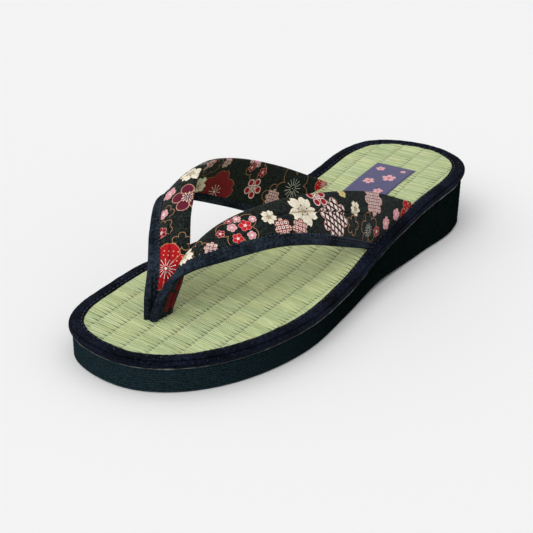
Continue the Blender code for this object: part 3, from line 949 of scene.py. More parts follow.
def cotton_tape(name, dark, light, thread_width, bump_height, lint):
    """Plain-woven cotton tape: fine crossing threads, navy-black with greyer worn highs, low sheen and
    pale specks of lint."""
    item, tree, shader = finish_material(name)
    run = add(tree, "ShaderNodeUVMap", uv_map="run").outputs[0]
    along, across = add(tree, "ShaderNodeSeparateXYZ", {0: run}).outputs[:2]
    known = {"along": along, "across": across}
    fluff = add(tree, "ShaderNodeMapping", {"Vector": run, "Scale": (900, 1500, 1)}).outputs[0]
    for name, vector, scale, detail in (("wear", run, 700.0, 4.0), ("broad", run, 60.0, 2.0),
                                        ("fluff", fluff, 1.0, 1.0)):
        known[name] = add(tree, "ShaderNodeTexNoise", {"Vector": vector, "Scale": scale,
                                                       "Detail": detail}).outputs[0]
    wire(tree, "ShaderNodeMath", known, (
        ("warp_turn", "MULTIPLY", "along", 2 * math.pi / thread_width),
        ("weft_turn", "MULTIPLY", "across", 2 * math.pi / thread_width),
        ("warp", "SINE", "warp_turn"),
        ("weft", "SINE", "weft_turn"),
        ("weave", "MULTIPLY", "warp", "weft"),
        ("worn", "MULTIPLY", "wear", "broad"),
        ("level", "MULTIPLY_ADD", "weave", 0.06, "worn"),
        ("lint_over", "SUBTRACT", "fluff", 0.69),
        ("lint_sharp", "MULTIPLY", "lint_over", 10.0),
        ("lint_low", "MAXIMUM", "lint_sharp", 0.0),
        ("lint_high", "MINIMUM", "lint_low", 1.0),
        ("lint", "MULTIPLY", "lint_high", lint),
    ))
    tone = add(tree, "ShaderNodeValToRGB", {"Fac": known["level"]},
               stops=((0.17, colour(dark)), (0.38, colour(light)))).outputs[0]
    linted = add(tree, "ShaderNodeMix", {0: known["lint"], 6: tone, 7: colour("8C909C")},
                 data_type="RGBA").outputs[2]
    normal = add(tree, "ShaderNodeBump", {"Height": known["weave"], "Strength": 0.5,
                                          "Distance": bump_height}).outputs[0]
    normal = add(tree, "ShaderNodeBump", {"Height": known["wear"], "Strength": 0.7, "Distance": 0.0005,
                                          "Normal": normal}).outputs[0]
    feed(tree, shader, {"Base Color": linted, "Normal": normal, "Roughness": 0.85,
                        "Specular IOR Level": 0.03, "Sheen Weight": 0.01, "Sheen Roughness": 0.4})
    return item


def rush():
    """Woven igusa rush: smooth split stalks side by side, yellow-green with blue-green patches, slots where
    the warp cords pull the stalks down, low satin gloss along the stalks. Painted shade darkens the gaps,
    the slots and the dips by the cords. Painted highlights lie past each cord and in streaks along the
    stalks, and a painted pool of light brightens the middle of the mat."""
    item, tree, shader = finish_material("woven_igusa_rush")
    weave = add(tree, "ShaderNodeUVMap", uv_map="weave").outputs[0]
    place = add(tree, "ShaderNodeTexCoord").outputs["Object"]
    stalk, lane = add(tree, "ShaderNodeSeparateXYZ", {0: weave}).outputs[:2]
    length_place = add(tree, "ShaderNodeSeparateXYZ", {0: place}).outputs[1]
    known = wire(tree, "ShaderNodeMath", {"stalk": stalk, "lane": lane}, (
        ("stalk_number", "FLOOR", "stalk"),
        ("lane_number", "FLOOR", "lane"),
        ("gap_number", "ROUND", "stalk"),
        ("within", "FRACT", "lane"),
        ("gap_offset", "SUBTRACT", "stalk", "gap_number"),
        ("to_gap", "ABSOLUTE", "gap_offset"),
        ("gap_and_lane", "ADD", "gap_number", "lane_number"),
        ("odd", "FLOORED_MODULO", "gap_and_lane", 2.0),
    ))
    for name, first in (("each", "stalk_number"), ("gap_random", "gap_number")):
        seed = add(tree, "ShaderNodeCombineXYZ", {0: known[first], 1: known["lane_number"]}).outputs[0]
        noise_node = add(tree, "ShaderNodeTexWhiteNoise", {"Vector": seed}, noise_dimensions="2D")
        known[name] = noise_node.outputs["Value"]
        parts = add(tree, "ShaderNodeSeparateXYZ", {0: noise_node.outputs["Color"]})
        known[name + "_b"] = parts.outputs[1]
    by_stalk = add(tree, "ShaderNodeCombineXYZ", {0: known["lane"], 1: known["stalk_number"]}).outputs[0]
    by_gap = add(tree, "ShaderNodeCombineXYZ", {0: known["lane"], 1: known["gap_number"]}).outputs[0]
    # The first noise gives painted highlight streaks along the stalks, standing in for their gloss.
    for name, vector, scale, detail in (("painted_gloss_streak", by_stalk, (1.8, 1.3, 1), 1.0),
                                        ("fade", by_gap, (1.3, 1.7, 1), 1.0),
                                        ("patch", place, (45, 110, 1), 2.0),
                                        ("fibre", weave, (3.0, 4.0, 1), 2.0)):
        spread = add(tree, "ShaderNodeMapping", {"Vector": vector, "Scale": scale}).outputs[0]
        known[name] = add(tree, "ShaderNodeTexNoise", {"Vector": spread, "Scale": 1.0,
                                                       "Detail": detail}).outputs[0]
    # heel_share fades the painted shade of the slots towards the heel.
    for name, start, end, low, high in (("heel_share", 0.0, 0.06, 1.0, 0.6),
                                        ("mid_light_from_toe", -0.085, -0.030, 0.0, 0.27),
                                        ("mid_light_to_heel", 0.015, 0.060, 1.0, 0.0)):
        known[name] = add(tree, "ShaderNodeMapRange", {0: length_place, 1: start, 2: end, 3: low,
                                                       4: high}).outputs[0]
    wire(tree, "ShaderNodeMath", known, (
        # The next rows paint shade into the gaps between the stalks, darkest in the slots where the warp
        # cords pull them down.
        ("to_cord", "SUBTRACT", 1.0, "within"),
        ("even", "SUBTRACT", 1.0, "odd"),
        ("dive_reach", "MULTIPLY_ADD", "gap_random", 0.32, 0.12),
        ("dive_share", "DIVIDE", "to_cord", "dive_reach"),
        ("dive_rise", "SUBTRACT", 1.0, "dive_share"),
        ("dive_low", "MAXIMUM", "dive_rise", 0.0),
        ("dive", "MULTIPLY", "dive_low", "even"),
        ("rise_reach", "MULTIPLY_ADD", "gap_random_b", 0.12, 0.04),
        ("rise_share", "DIVIDE", "within", "rise_reach"),
        ("rise_left", "SUBTRACT", 1.0, "rise_share"),
        ("rise_low", "MAXIMUM", "rise_left", 0.0),
        ("rise", "MULTIPLY", "rise_low", "odd"),
        ("slot_low", "MAXIMUM", "dive", "rise"),
        ("slot_steep", "MULTIPLY", "slot_low", 2.2),
        ("slot", "MINIMUM", "slot_steep", 0.80),
        ("slot_width", "MULTIPLY_ADD", "slot_low", 0.16, 0.14),
        ("slot_over", "SUBTRACT", "slot_width", "to_gap"),
        ("slot_sharp", "MULTIPLY", "slot_over", 12.0),
        ("slot_clear", "MAXIMUM", "slot_sharp", 0.0),
        ("slot_full", "MINIMUM", "slot_clear", 1.0),
        ("fade_low", "SUBTRACT", "fade", 0.34),
        ("fade_sharp", "MULTIPLY", "fade_low", 4.6),
        ("fade_clear", "MAXIMUM", "fade_sharp", 0.0),
        ("fade_full", "MINIMUM", "fade_clear", 0.85),
        ("odd_share", "MULTIPLY_ADD", "odd", -0.60, 1.0),
        ("fade_line", "MULTIPLY", "fade_full", "odd_share"),
        ("slot_part", "MULTIPLY", "slot", "heel_share"),
        ("painted_gap_shade_most", "MAXIMUM", "slot_part", "fade_line"),
        ("painted_gap_shade", "MULTIPLY", "slot_full", "painted_gap_shade_most"),
        # The next rows paint shade into the dip along each warp cord.
        ("cord_near", "MINIMUM", "to_cord", "within"),
        ("valley_share", "DIVIDE", "cord_near", 0.075),
        ("valley_rise", "SUBTRACT", 1.0, "valley_share"),
        ("valley_low", "MAXIMUM", "valley_rise", 0.0),
        ("valley_each", "MULTIPLY_ADD", "gap_random", 0.32, 0.12),
        ("painted_valley_shade", "MULTIPLY", "valley_low", "valley_each"),
        ("dark", "MAXIMUM", "painted_gap_shade", "painted_valley_shade"),
        # Painted light: a brighter pool over the middle of the mat, where the strap shades it.
        ("pale", "MULTIPLY", "mid_light_from_toe", "mid_light_to_heel"),
        # The next rows paint a highlight on the stalks just past each warp cord, where they rise towards
        # the light.
        ("cord_side", "DIVIDE", "within", 0.16),
        ("cord_rise", "SUBTRACT", 1.0, "cord_side"),
        ("cord_low", "MAXIMUM", "cord_rise", 0.0),
        ("cord_highlight_most", "MULTIPLY", "cord_low", "each_b"),
        ("bright", "MULTIPLY", "cord_highlight_most", 0.55),
        # tone: each stalk's random colour and its fibres, plus painted highlight streaks along the stalks.
        ("tone_a", "MULTIPLY", "each", 0.62),
        ("tone_b", "MULTIPLY_ADD", "painted_gloss_streak", 0.30, "tone_a"),
        ("tone_c", "MULTIPLY_ADD", "fibre", 0.60, "tone_b"),
        ("tone", "SUBTRACT", "tone_c", 0.22),
        ("round_a", "MULTIPLY", "to_gap", 2.0),
        ("round", "POWER", "round_a", 0.5),
        ("height", "MULTIPLY_ADD", "fibre", 0.25, "round"),
    ))
    result = add(tree, "ShaderNodeValToRGB", {"Fac": known["patch"]},
                 stops=((0.38, colour("9AB583")), (0.62, colour("BAC487")))).outputs[0]
    each = add(tree, "ShaderNodeMix", {0: known["tone"], 6: colour("8F9D66"), 7: colour("DCE2B2")},
               data_type="RGBA").outputs[2]
    # Over the stalk colour: the painted pool of light, the painted highlight past the cords, then the
    # painted shade of gaps, slots and cord dips in 34361A.
    for share, top in ((0.60, each), (known["pale"], colour("F2FFB8")),
                       (known["bright"], colour("E6EBC4")), (known["dark"], colour("34361A"))):
        result = add(tree, "ShaderNodeMix", {0: share, 6: result, 7: top}, data_type="RGBA").outputs[2]
    bump = add(tree, "ShaderNodeBump", {"Height": known["height"], "Strength": 0.5,
                                        "Distance": 0.00018}).outputs[0]
    feed(tree, shader, {"Base Color": result, "Normal": bump, "Roughness": 0.55, "Specular IOR Level": 0.4})
    return item


def sole_foam():
    """Moulded EVA foam rubber: matt black-green, fine pebbled skin, with painted light making it paler
    towards the toe.
    """
    item, tree, shader = finish_material("moulded_eva_foam")
    place = add(tree, "ShaderNodeTexCoord").outputs["Object"]
    pebble = add(tree, "ShaderNodeTexNoise", {"Vector": place, "Scale": 2300.0, "Detail": 3.0}).outputs[0]
    smear = add(tree, "ShaderNodeTexNoise", {"Vector": place, "Scale": 1300.0, "Detail": 4.0}).outputs[0]
    # The second, paler tones are the same foam with painted light, used towards the toe.
    tones = []
    for dark, light in (("020505", "121D1C"), ("0E171B", "2A3D44")):
        tones.append(add(tree, "ShaderNodeValToRGB", {"Fac": smear},
                         stops=((0.30, colour(dark)), (0.75, colour(light)))).outputs[0])
    y = add(tree, "ShaderNodeSeparateXYZ", {"Vector": place}).outputs["Y"]
    # Painted light: the foam turns paler towards the toe.
    toe_painted_light = add(tree, "ShaderNodeMapRange", {0: y, 1: -0.118, 2: -0.020, 3: 0.90, 4: 0.0}).outputs[0]
    result = add(tree, "ShaderNodeMix", {0: toe_painted_light, 6: tones[0], 7: tones[1]}, data_type="RGBA").outputs[2]
    bump = add(tree, "ShaderNodeBump", {"Height": pebble, "Strength": 0.5, "Distance": 0.00012}).outputs[0]
    feed(tree, shader, {"Base Color": result, "Normal": bump, "Roughness": 0.85, "Specular IOR Level": 0.0})
    return item


def glue():
    """Dried contact cement: thin pale grey, slightly glossy bead."""
    item, tree, shader = finish_material("dried_contact_cement")
    place = add(tree, "ShaderNodeTexCoord").outputs["Object"]
    cloud = add(tree, "ShaderNodeTexNoise", {"Vector": place, "Scale": 190.0, "Detail": 4.0}).outputs[0]
    tone = add(tree, "ShaderNodeValToRGB", {"Fac": cloud},
               stops=((0.50, colour("0A0D0E")), (0.68, colour("666C69")))).outputs[0]
    feed(tree, shader, {"Base Color": tone, "Roughness": 0.4})
    return item


def thread(name, code):
    """Spun polyester sewing thread: dark, faintly lustrous, each stitch a short rounded bar."""
    item, tree, shader = finish_material(name)
    place = add(tree, "ShaderNodeTexCoord").outputs["Object"]
    twist = add(tree, "ShaderNodeTexNoise", {"Vector": place, "Scale": 3000.0, "Detail": 1.0}).outputs[0]
    lit = tuple(min(1.0, part * 1.8) for part in colour(code)[:3]) + (1.0,)
    tone = add(tree, "ShaderNodeValToRGB", {"Fac": twist},
               stops=((0.0, colour(code)), (1.0, lit))).outputs[0]
    feed(tree, shader, {"Base Color": tone, "Roughness": 0.55})
    return item


# Geometry Nodes tree for every row of stitches.

def stitch_tree():
    tree = bpy.data.node_groups.new("stitch_row", "GeometryNodeTree")
    face = tree.interface
    face.new_socket("Geometry", in_out="INPUT", socket_type="NodeSocketGeometry")
    for name in ("Pitch", "Stitch Length", "Thickness"):
        face.new_socket(name, in_out="INPUT", socket_type="NodeSocketFloat")
    face.new_socket("Thread", in_out="INPUT", socket_type="NodeSocketMaterial")
    face.new_socket("Geometry", in_out="OUTPUT", socket_type="NodeSocketGeometry")
    source = add(tree, "NodeGroupInput").outputs
    spaced = add(tree, "GeometryNodeResampleCurve",
                 {"Curve": source["Geometry"], "Length": source["Pitch"]}, mode="LENGTH").outputs[0]
    tangent = add(tree, "GeometryNodeInputTangent").outputs[0]
    turn = add(tree, "FunctionNodeAlignRotationToVector", {"Vector": tangent}, axis="X").outputs[0]
    bead = add(tree, "GeometryNodeMeshUVSphere", {"Segments": 6, "Rings": 5, "Radius": 0.5}).outputs[0]
    size = add(tree, "ShaderNodeCombineXYZ", {0: source["Stitch Length"], 1: source["Thickness"],
                                             2: source["Thickness"]}).outputs[0]
    placed = add(tree, "GeometryNodeInstanceOnPoints",
                 {"Points": spaced, "Instance": bead, "Rotation": turn, "Scale": size}).outputs[0]
    real = add(tree, "GeometryNodeRealizeInstances", {"Geometry": placed}).outputs[0]
    painted = add(tree, "GeometryNodeSetMaterial",
                  {"Geometry": real, "Material": source["Thread"]}).outputs[0]
    add(tree, "NodeGroupOutput", {"Geometry": painted})
    return tree


def stitch_row(tree, name, lines, pitch, length, thickness, material):
    """Stitches along point lists, turned into one plain mesh."""
    curve = bpy.data.curves.new(name + "_line", "CURVE")
    curve.dimensions = "3D"
    for points, closed in lines:
        spline = curve.splines.new("POLY")
        spline.points.add(len(points) - 1)
        for target, point in zip(spline.points, points):
            target.co = (point[0] + SHIFT, point[1], point[2], 1.0)
        spline.use_cyclic_u = closed
    guide = bpy.data.objects.new(name + "_line", curve)
    bpy.context.scene.collection.objects.link(guide)
    modifier = guide.modifiers.new("stitches", "NODES")
    modifier.node_group = tree
    values = {"Pitch": pitch, "Stitch Length": length, "Thickness": thickness, "Thread": material}
    for socket in tree.interface.items_tree:
        if socket.in_out == "INPUT" and socket.name in values:
            modifier[socket.identifier] = values[socket.name]
    graph = bpy.context.evaluated_depsgraph_get()
    mesh = bpy.data.meshes.new_from_object(guide.evaluated_get(graph))
    bpy.data.objects.remove(guide, do_unlink=True)
    mesh.name = name
    mesh.shade_smooth()
    item = bpy.data.objects.new(name, mesh)
    bpy.context.scene.collection.objects.link(item)
    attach(item, "root")
    return item


# Pieces.

def stalk_slant(y):
    """Sideways slant of the rush stalks, turning evenly from the toe's to the heel's."""
    share = clamp((y - 0.02) / 0.08)
    return STALK_SLANT_TOE + (STALK_SLANT_HEEL - STALK_SLANT_TOE) * share * share * (3 - 2 * share)


def lane_at(x, y):
    return (x + SHIFT - WARP_START - WARP_LEAN * (y + 0.040)) / WARP_SPACING


def mat_height(x, y):
    """Relief of the woven rush over its board: low pillows between the warp cords."""
    lane = lane_at(x, y)
    number = math.floor(lane)
    pillow = max(math.sin(math.pi * (lane - number)), 0.0)
    swell = rough(x * 45, y * 60, number * 3.1) * 0.00010
    return MAT_PILLOW * pillow - MAT_DROP + swell


def gap_pull(number, lane):
    """How far a warp cord pulls a gap open: every second gap before the cord, the others past it."""
    lane_number = math.floor(lane)
    within = lane - lane_number
    if (number + lane_number) % 2 == 0:
        return clamp((within - 0.72) / 0.28)
    return clamp((0.14 - within) / 0.14)


# Section of one stalk: share of the pitch and lift in metres, from the gap before it.
STALK_PROFILE = ((0.0, -0.00018), (0.14, 0.00006), (0.5, 0.00014), (0.86, 0.00006))


def build_mat(material):
    """Rush mat: four rows of faces to each stalk, so that every stalk is round and every gap is deep."""
    near, far = outline_sides(BINDING_WIDTH - MAT_TUCK, 400)
    low, high = near[0][0] + 0.00004, near[0][-1] - 0.00004
    stalks = round((high - low) / STALK_PITCH)
    columns = 104
    generator = random.Random(7)
    shift = [generator.uniform(-0.16, 0.16) for _ in range(stalks + 1)]
    thick = [generator.uniform(-0.00005, 0.00005) for _ in range(stalks + 1)]
    rows = stalks * len(STALK_PROFILE)
    points = []
    stalk_of = []
    lane_of = []
    for row in range(rows + 1):
        number, part = divmod(row, len(STALK_PROFILE))
        share, lift = STALK_PROFILE[part]
        after = min(number + 1, stalks)
        place = number + share + shift[number] * (1 - share) + shift[after] * share
        fade = clamp(min(place, stalks - place) / 12)
        middle = low + (high - low) * clamp(place / stalks)
        slant = stalk_slant(middle) * fade
        ends = []
        for side in (far, near):
            found = 0.0
            for _ in range(3):
                found = float(np.interp(middle + slant * found, *side))
            ends.append(found)
        x0, x1 = ends
        for column in range(columns + 1):
            x = x0 + (x1 - x0) * column / columns
            wave = rough(x * 70, (number + round(share)) * 0.83, 3.0) * 0.00022 * fade
            y = clamp(middle + slant * x + wave, low, high)
            lane = lane_at(x, y)
            groove = min(lift, 0.0) * (0.9 + 1.4 * gap_pull(number, lane))
            rim = min(x - x0, x1 - x)
            sink = -0.0009 * hill(rim, 0.0006) if rim < 0.003 else 0.0
            height = mat_height(x, y) + max(lift, 0.0) + groove + thick[number] + sink
            points.append((x, y, footbed_top(y) + height))
            stalk_of.append(number + share)
            lane_of.append(lane)
    faces = grid_faces(rows, columns)
    rim = grid_rim(rows, columns)
    base = len(points)
    for vertex in rim:
        x, y, _ = points[vertex]
        points.append((x, y, footbed_top(y) - FOOTBED_THICKNESS))
    centre = len(points)
    points.append((0.0, 0.0, footbed_top(0.0) - FOOTBED_THICKNESS))
    for index in range(len(rim)):
        after = (index + 1) % len(rim)
        faces.append((rim[after], rim[index], base + index, base + after))
        faces.append((base + after, base + index, centre))
    hidden = [0.5] * (len(points) - base)
    make_piece("rush_mat", points, faces, material, ("footbed",),
               (stalk_of + hidden, lane_of + hidden, "weave"))


def build_binding(material):
    """Cloth edge: rounded section with a sewn groove near the mat, a fold and small puckers."""
    steps = 440
    turns = 72
    base_ring = outline(BINDING_WIDTH / 2, steps)
    count = len(base_ring)
    travelled = [0.0]
    for index in range(1, count + 1):
        travelled.append(travelled[-1] + (base_ring[index % count] - base_ring[index - 1]).length)
    points = []
    faces = []
    around = []
    for step in range(turns):
        angle = 2 * math.pi * step / turns
        power = 2.0 / BINDING_CORNER
        across = math.copysign(abs(math.cos(angle)) ** power, math.cos(angle))
        up = math.copysign(abs(math.sin(angle)) ** power, math.sin(angle))
        sewn = TAPE_GROOVE_DEPTH * hill(across + BINDING_SEAM, 0.10) if up > 0.2 else 0.0
        fold = TAPE_FOLD_DEPTH * hill(angle - TAPE_FOLD_ANGLE, TAPE_FOLD_SPREAD)
        ring = outline(BINDING_WIDTH * 0.5 * (1 - across) + fold * 0.8, steps)
        for point, s in zip(ring, travelled):
            pucker = rough(s * 170, angle * 0.7, 2.0) * 0.00018
            pucker += rough(s * 620, angle * 1.4, 7.0) * 0.00010
            lift = (pucker if up > 0 else 0.0) - sewn - fold * 0.6
            point.z = top_height(point.y) - BINDING_HEIGHT * 0.5 * (1 - up) + lift
            around.append(angle / (2 * math.pi) * 0.0175)
        points.extend(ring)
    for step in range(turns):
        faces.extend(bridge(step * count, (step + 1) % turns * count, count))
    make_piece("edge_binding", points, faces, material, ("binding",),
               (travelled[:count] * turns, around))


def build_tread(material):
    """Walking face of the sole: shallow zigzag ribs across it, their tops on the ground."""
    rows = 480
    columns = 40
    near, far = outline_sides(SIDE_INSET_BOTTOM + TREAD_EDGE - 0.0003, 240)
    low = near[0][0] + 0.0002
    high = near[0][-1] - 0.0002
    points = []
    for row in range(rows + 1):
        y = low + (high - low) * row / rows
        x0 = float(np.interp(y, *far))
        x1 = float(np.interp(y, *near))
        for column in range(columns + 1):
            x = x0 + (x1 - x0) * column / columns
            turn = abs((x / TREAD_ZIGZAG) % 2 - 1)
            phase = (y + 0.5 * TREAD_ZIGZAG * turn) / TREAD_PITCH
            wave = 0.5 - 0.5 * math.cos(2 * math.pi * phase)
            points.append((x, y, ground_height(y) + TREAD_DEPTH * clamp(1.8 * wave - 0.4)))
    faces = [(a, d, c, b) for a, b, c, d in grid_faces(rows, columns)]
    make_piece("sole_tread", points, faces, material, closed=False)


def sole_level(inset, share, steps):
    ring = outline(inset, steps)
    for point in ring:
        low = ground_height(point.y)
        high = top_height(point.y) - BINDING_HEIGHT - 0.0001
        point.z = low + (high - low) * share
    return ring


def build_outsole(material):
    """Wedge of foam rubber with fine rounded ribs round its wall."""
    steps = 320
    per_rib = 8
    levels = [(TREAD_EDGE, 0.045), (0.0026, 0.0), (0.0008, 0.012), (0.0003, 0.030), (0.0, 0.055)]
    for rib in range(SOLE_RIBS):
        for part in range(per_rib):
            share = (rib + part / per_rib) / SOLE_RIBS
            wave = 0.5 - 0.5 * math.cos(2 * math.pi * part / per_rib)
            levels.append((SOLE_RIB_DEPTH * wave ** 2.2, 0.075 + 0.855 * share))
    levels += [(0.0, 0.93), (0.0, 0.965), (0.0003, 1.0)]
    points = []
    faces = []
    count = 2 * steps
    for extra, share in levels:
        inset = SIDE_INSET_BOTTOM + (SIDE_INSET_TOP - SIDE_INSET_BOTTOM) * share + extra
        points.extend(sole_level(inset, share, steps))
    for row in range(len(levels) - 1):
        faces.extend(bridge(row * count, (row + 1) * count, count))
    faces.extend(cross_cap(0, steps))
    faces.extend(cross_cap((len(levels) - 1) * count, steps))
    make_piece("foam_outsole", points, faces, material, ("outsole",))


def build_glue(material):
    """Uneven bead of cement along the joint of edge and sole."""
    steps = 360
    points = []
    faces = []
    ring = outline(SIDE_INSET_TOP - 0.0002, steps)
    count = len(ring)
    sections = 6
    for index, point in enumerate(ring):
        before = ring[index - 1]
        after = ring[(index + 1) % count]
        tangent = (after - before).normalized()
        out = Vector((tangent.y, -tangent.x, 0.0))
        wave = rough(point.x * 160, point.y * 160, 1.5) + 0.6 * rough(point.x * 700, point.y * 700, 6.5)
        patch = clamp(0.35 + 2.2 * rough(point.x * 28, point.y * 28, 4.5))
        radius = 0.00018 + 0.00026 * patch * clamp(wave + 0.35, 0.0, 1.2)
        z = top_height(point.y) - BINDING_HEIGHT - 0.00018
        for section in range(sections):
            angle = 2 * math.pi * section / sections
            points.append(Vector((point.x, point.y, z)) + out * math.cos(angle) * radius
                          + Vector((0, 0, math.sin(angle) * radius * 1.1)))
    for index in range(count):
        faces.extend(bridge(index * sections, ((index + 1) % count) * sections, sections))
    make_piece("glue_bead", points, faces, material)


def piping_profile():
    """Half section of the piping, front to rear: round cord, stitched neck, flat tape."""
    profile = []
    for step in range(9):
        angle = math.pi * (1 - step / 8 * 0.80)
        profile.append((PIPING_RADIUS + PIPING_RADIUS * math.cos(angle), PIPING_RADIUS * math.sin(angle)))
    profile += [(0.00345, 0.00098), (0.0037, 0.00094), (0.0040, 0.00112), (0.0045, 0.00128),
                (0.0050, 0.00128), (0.0054, 0.00118), (0.0056, 0.00086)]
    return profile


def build_piping(run, material):
    upper = piping_profile()
    section = upper + [(reach, -lift) for reach, lift in upper[::-1] if lift > 1e-6]
    points = []
    along = []
    for row, travelled in zip(run.rows, run.length):
        for spot, (reach, lift) in enumerate(section):
            soft = rough(travelled * 140, spot * 0.35, 4.0) * 0.00010
            points.append(run.point(row, reach, lift + math.copysign(soft, lift) * (abs(lift) > 1e-5)))
            along.append(travelled)
    around = [spot * 0.00042 for spot in range(len(section))] * run.rings
    make_piece("piping_cord_" + run.name, points, tube_faces(run.rings, len(section)), material,
               ("piping_" + run.name,), (along, around))


def build_strap(run, material):
    points, faces, along, across, side_of = strap_mesh(run)
    item = make_piece("strap_cloth_" + run.name, points, faces, material,
                      ("strap",) if run.name == "near" else (), (along, across))
    generator = random.Random(41 if run.name == "near" else 97)
    for layer, chart in (("over", FLOWERS), ("under", RINGS)):
        flowers = []
        for face in (1, 0):
            kept = [Flower(run, side, place, share, size, turn, style)
                    for name, side, place, share, size, turn, style in chart
                    if name == run.name and side == face]
            if layer == "over":
                kept = scattered(run, face, kept, generator)
            flowers.extend(kept)
        print_flowers(item, side_of, flowers, layer)


def seam_lines(run):
    """Stitch lines in the neck between the piping cord and its tape, on both faces."""
    lines = []
    for lift in (0.00105, -0.00105):
        points = [run.point(row, 0.00365, lift) for row in run.rows[16:-13]]
        lines.append((points, False))
    return lines


def whip_lines(run):
    """Line along the free edge of the piping tape, where short stitches fasten it to the strap cloth."""
    return [([run.point(row, 0.00545, 0.00132) for row in run.rows[26:-18]], False)]


def binding_seam():
    """Stitch line round the edge binding, in its groove beside the mat."""
    ring = outline(BINDING_WIDTH * 0.5 * (1 + BINDING_SEAM), 360)
    return [(point.x, point.y, top_height(point.y) - 0.00052) for point in ring]


def build_label(material):
    """Thin woven label lying on the rush, its edges turned under."""
    rows = 60
    columns = 28
    points = []
    along_of = []
    across_of = []
    for level in (1, 0):
        for row in range(rows + 1):
            along = (row / rows - 0.5) * LABEL_LENGTH
            for column in range(columns + 1):
                wide = (column / columns - 0.5) * LABEL_WIDTH
                x = LABEL_CENTRE_X + wide * math.cos(LABEL_TURN) - along * math.sin(LABEL_TURN)
                y = LABEL_CENTRE_Y + wide * math.sin(LABEL_TURN) + along * math.cos(LABEL_TURN)
                edge = min(LABEL_WIDTH / 2 - abs(wide), LABEL_LENGTH / 2 - abs(along))
                z = footbed_top(y) + max(mat_height(x, y) * 0.35, -0.0001)
                rise = 0.00030 + 0.00022 * clamp(edge / 0.0007) ** 0.5
                points.append((x, y, z + (rise if level else -0.0002)))
                along_of.append(along)
                across_of.append(wide)
    size = len(points) // 2
    faces = grid_faces(rows, columns) + grid_faces(rows, columns, size, flip=True)
    rim = grid_rim(rows, columns)
    for index in range(len(rim)):
        after = (index + 1) % len(rim)
        faces.append((rim[index], rim[index] + size, rim[after] + size, rim[after]))
    make_piece("woven_label", points, faces, material, ("label",), (along_of, across_of))


# One woven blossom of the label: five petals folded into one sector, each with a notch at its tip.
BLOSSOM_SECTOR = 2 * math.pi / 5
BLOSSOM_ROWS = (
    ("dx", "SUBTRACT", "along", "spot_along"),
    ("dy", "SUBTRACT", "across", "spot_across"),
    *distance_rows("rho", "dx", "dy"),
    ("bearing", "ARCTAN2", "dy", "dx"),
    ("turned", "ADD", "bearing", "turn"),
    ("wrapped", "FLOORED_MODULO", "turned", BLOSSOM_SECTOR),
    ("folded", "SUBTRACT", "wrapped", BLOSSOM_SECTOR / 2),
    ("cosine", "COSINE", "folded"),
    ("sine", "SINE", "folded"),
    ("px", "MULTIPLY", "rho", "cosine"),
    ("py", "MULTIPLY", "rho", "sine"),
    ("wide", "MULTIPLY", "py", 1.25),
    ("from_petal", "SUBTRACT", "px", "petal_place"),
    *distance_rows("petal_length", "from_petal", "wide"),
    ("from_tip", "SUBTRACT", "px", "tip_place"),
    *distance_rows("tip_length", "from_tip", "py"),
    ("in_petal", "LESS_THAN", "petal_length", "petal_radius"),
    ("off_notch", "GREATER_THAN", "tip_length", "notch_radius"),
    ("petals", "MULTIPLY", "in_petal", "off_notch"),
    ("heart", "LESS_THAN", "rho", "heart_radius"),
)
# Metres along and across the label, radius in metres, turn in radians.
BLOSSOMS = ((0.0075, 0.0030, 0.0036, 0.3), (0.0010, -0.0040, 0.0030, 0.9), (0.0148, -0.0052, 0.0024, 0.5),
            (-0.0062, 0.0046, 0.0026, 0.1), (0.0164, 0.0058, 0.0015, 0.2), (-0.0150, -0.0030, 0.0034, 0.7))


def label_cloth():
    """Woven polyester satin: even violet with fine cross threads, five-petalled blossoms woven in pink."""
    item, tree, shader = finish_material("woven_satin_label")
    run = add(tree, "ShaderNodeUVMap", uv_map="run").outputs[0]
    along, across = add(tree, "ShaderNodeSeparateXYZ", {0: run}).outputs[:2]
    cloud = add(tree, "ShaderNodeTexNoise", {"Vector": run, "Scale": 500.0, "Detail": 3.0}).outputs[0]
    known = wire(tree, "ShaderNodeMath", {"along": along, "across": across, "cloud": cloud}, (
        ("rib_turn", "MULTIPLY", "along", 2 * math.pi / 0.00042),
        ("rib", "SINE", "rib_turn"),
        ("level", "MULTIPLY_ADD", "rib", 0.22, "cloud"),
    ))
    result = add(tree, "ShaderNodeMix", {0: known["level"], 6: colour("2C2857"), 7: colour("443E76")},
                 data_type="RGBA").outputs[2]
    for spot_along, spot_across, size, turn in BLOSSOMS:
        known.update(spot_along=spot_along, spot_across=spot_across, turn=turn + BLOSSOM_SECTOR / 2,
                     petal_place=0.58 * size, petal_radius=0.40 * size, tip_place=size,
                     notch_radius=0.14 * size, heart_radius=0.22 * size)
        wire(tree, "ShaderNodeMath", known, BLOSSOM_ROWS)
        for share, top in ((known["petals"], "E0A3A6"), (known["heart"], "B8485A")):
            result = add(tree, "ShaderNodeMix", {0: share, 6: result, 7: colour(top)},
                         data_type="RGBA").outputs[2]
    bump = add(tree, "ShaderNodeBump",
               {"Height": known["rib"], "Strength": 0.4, "Distance": 0.0001}).outputs[0]
    feed(tree, shader, {"Base Color": result, "Normal": bump, "Roughness": 0.5, "Sheen Weight": 0.2})
    return item


# Stage, light and camera.

def build_floor():
    mesh = bpy.data.meshes.new("studio_floor")
    half = 3.0
    corners = [(-half, -half, 0), (half, -half, 0), (half, half, 0), (-half, half, 0)]
    mesh.from_pydata(corners, [], [(0, 1, 2, 3)])
    item, tree, shader = finish_material("matt_studio_paper")
    feed(tree, shader, {"Base Color": colour("F2F2F2"), "Roughness": 0.9, "Specular IOR Level": 0.1})
    mesh.materials.append(item)
    floor = bpy.data.objects.new("studio_floor", mesh)
    bpy.context.scene.collection.objects.link(floor)


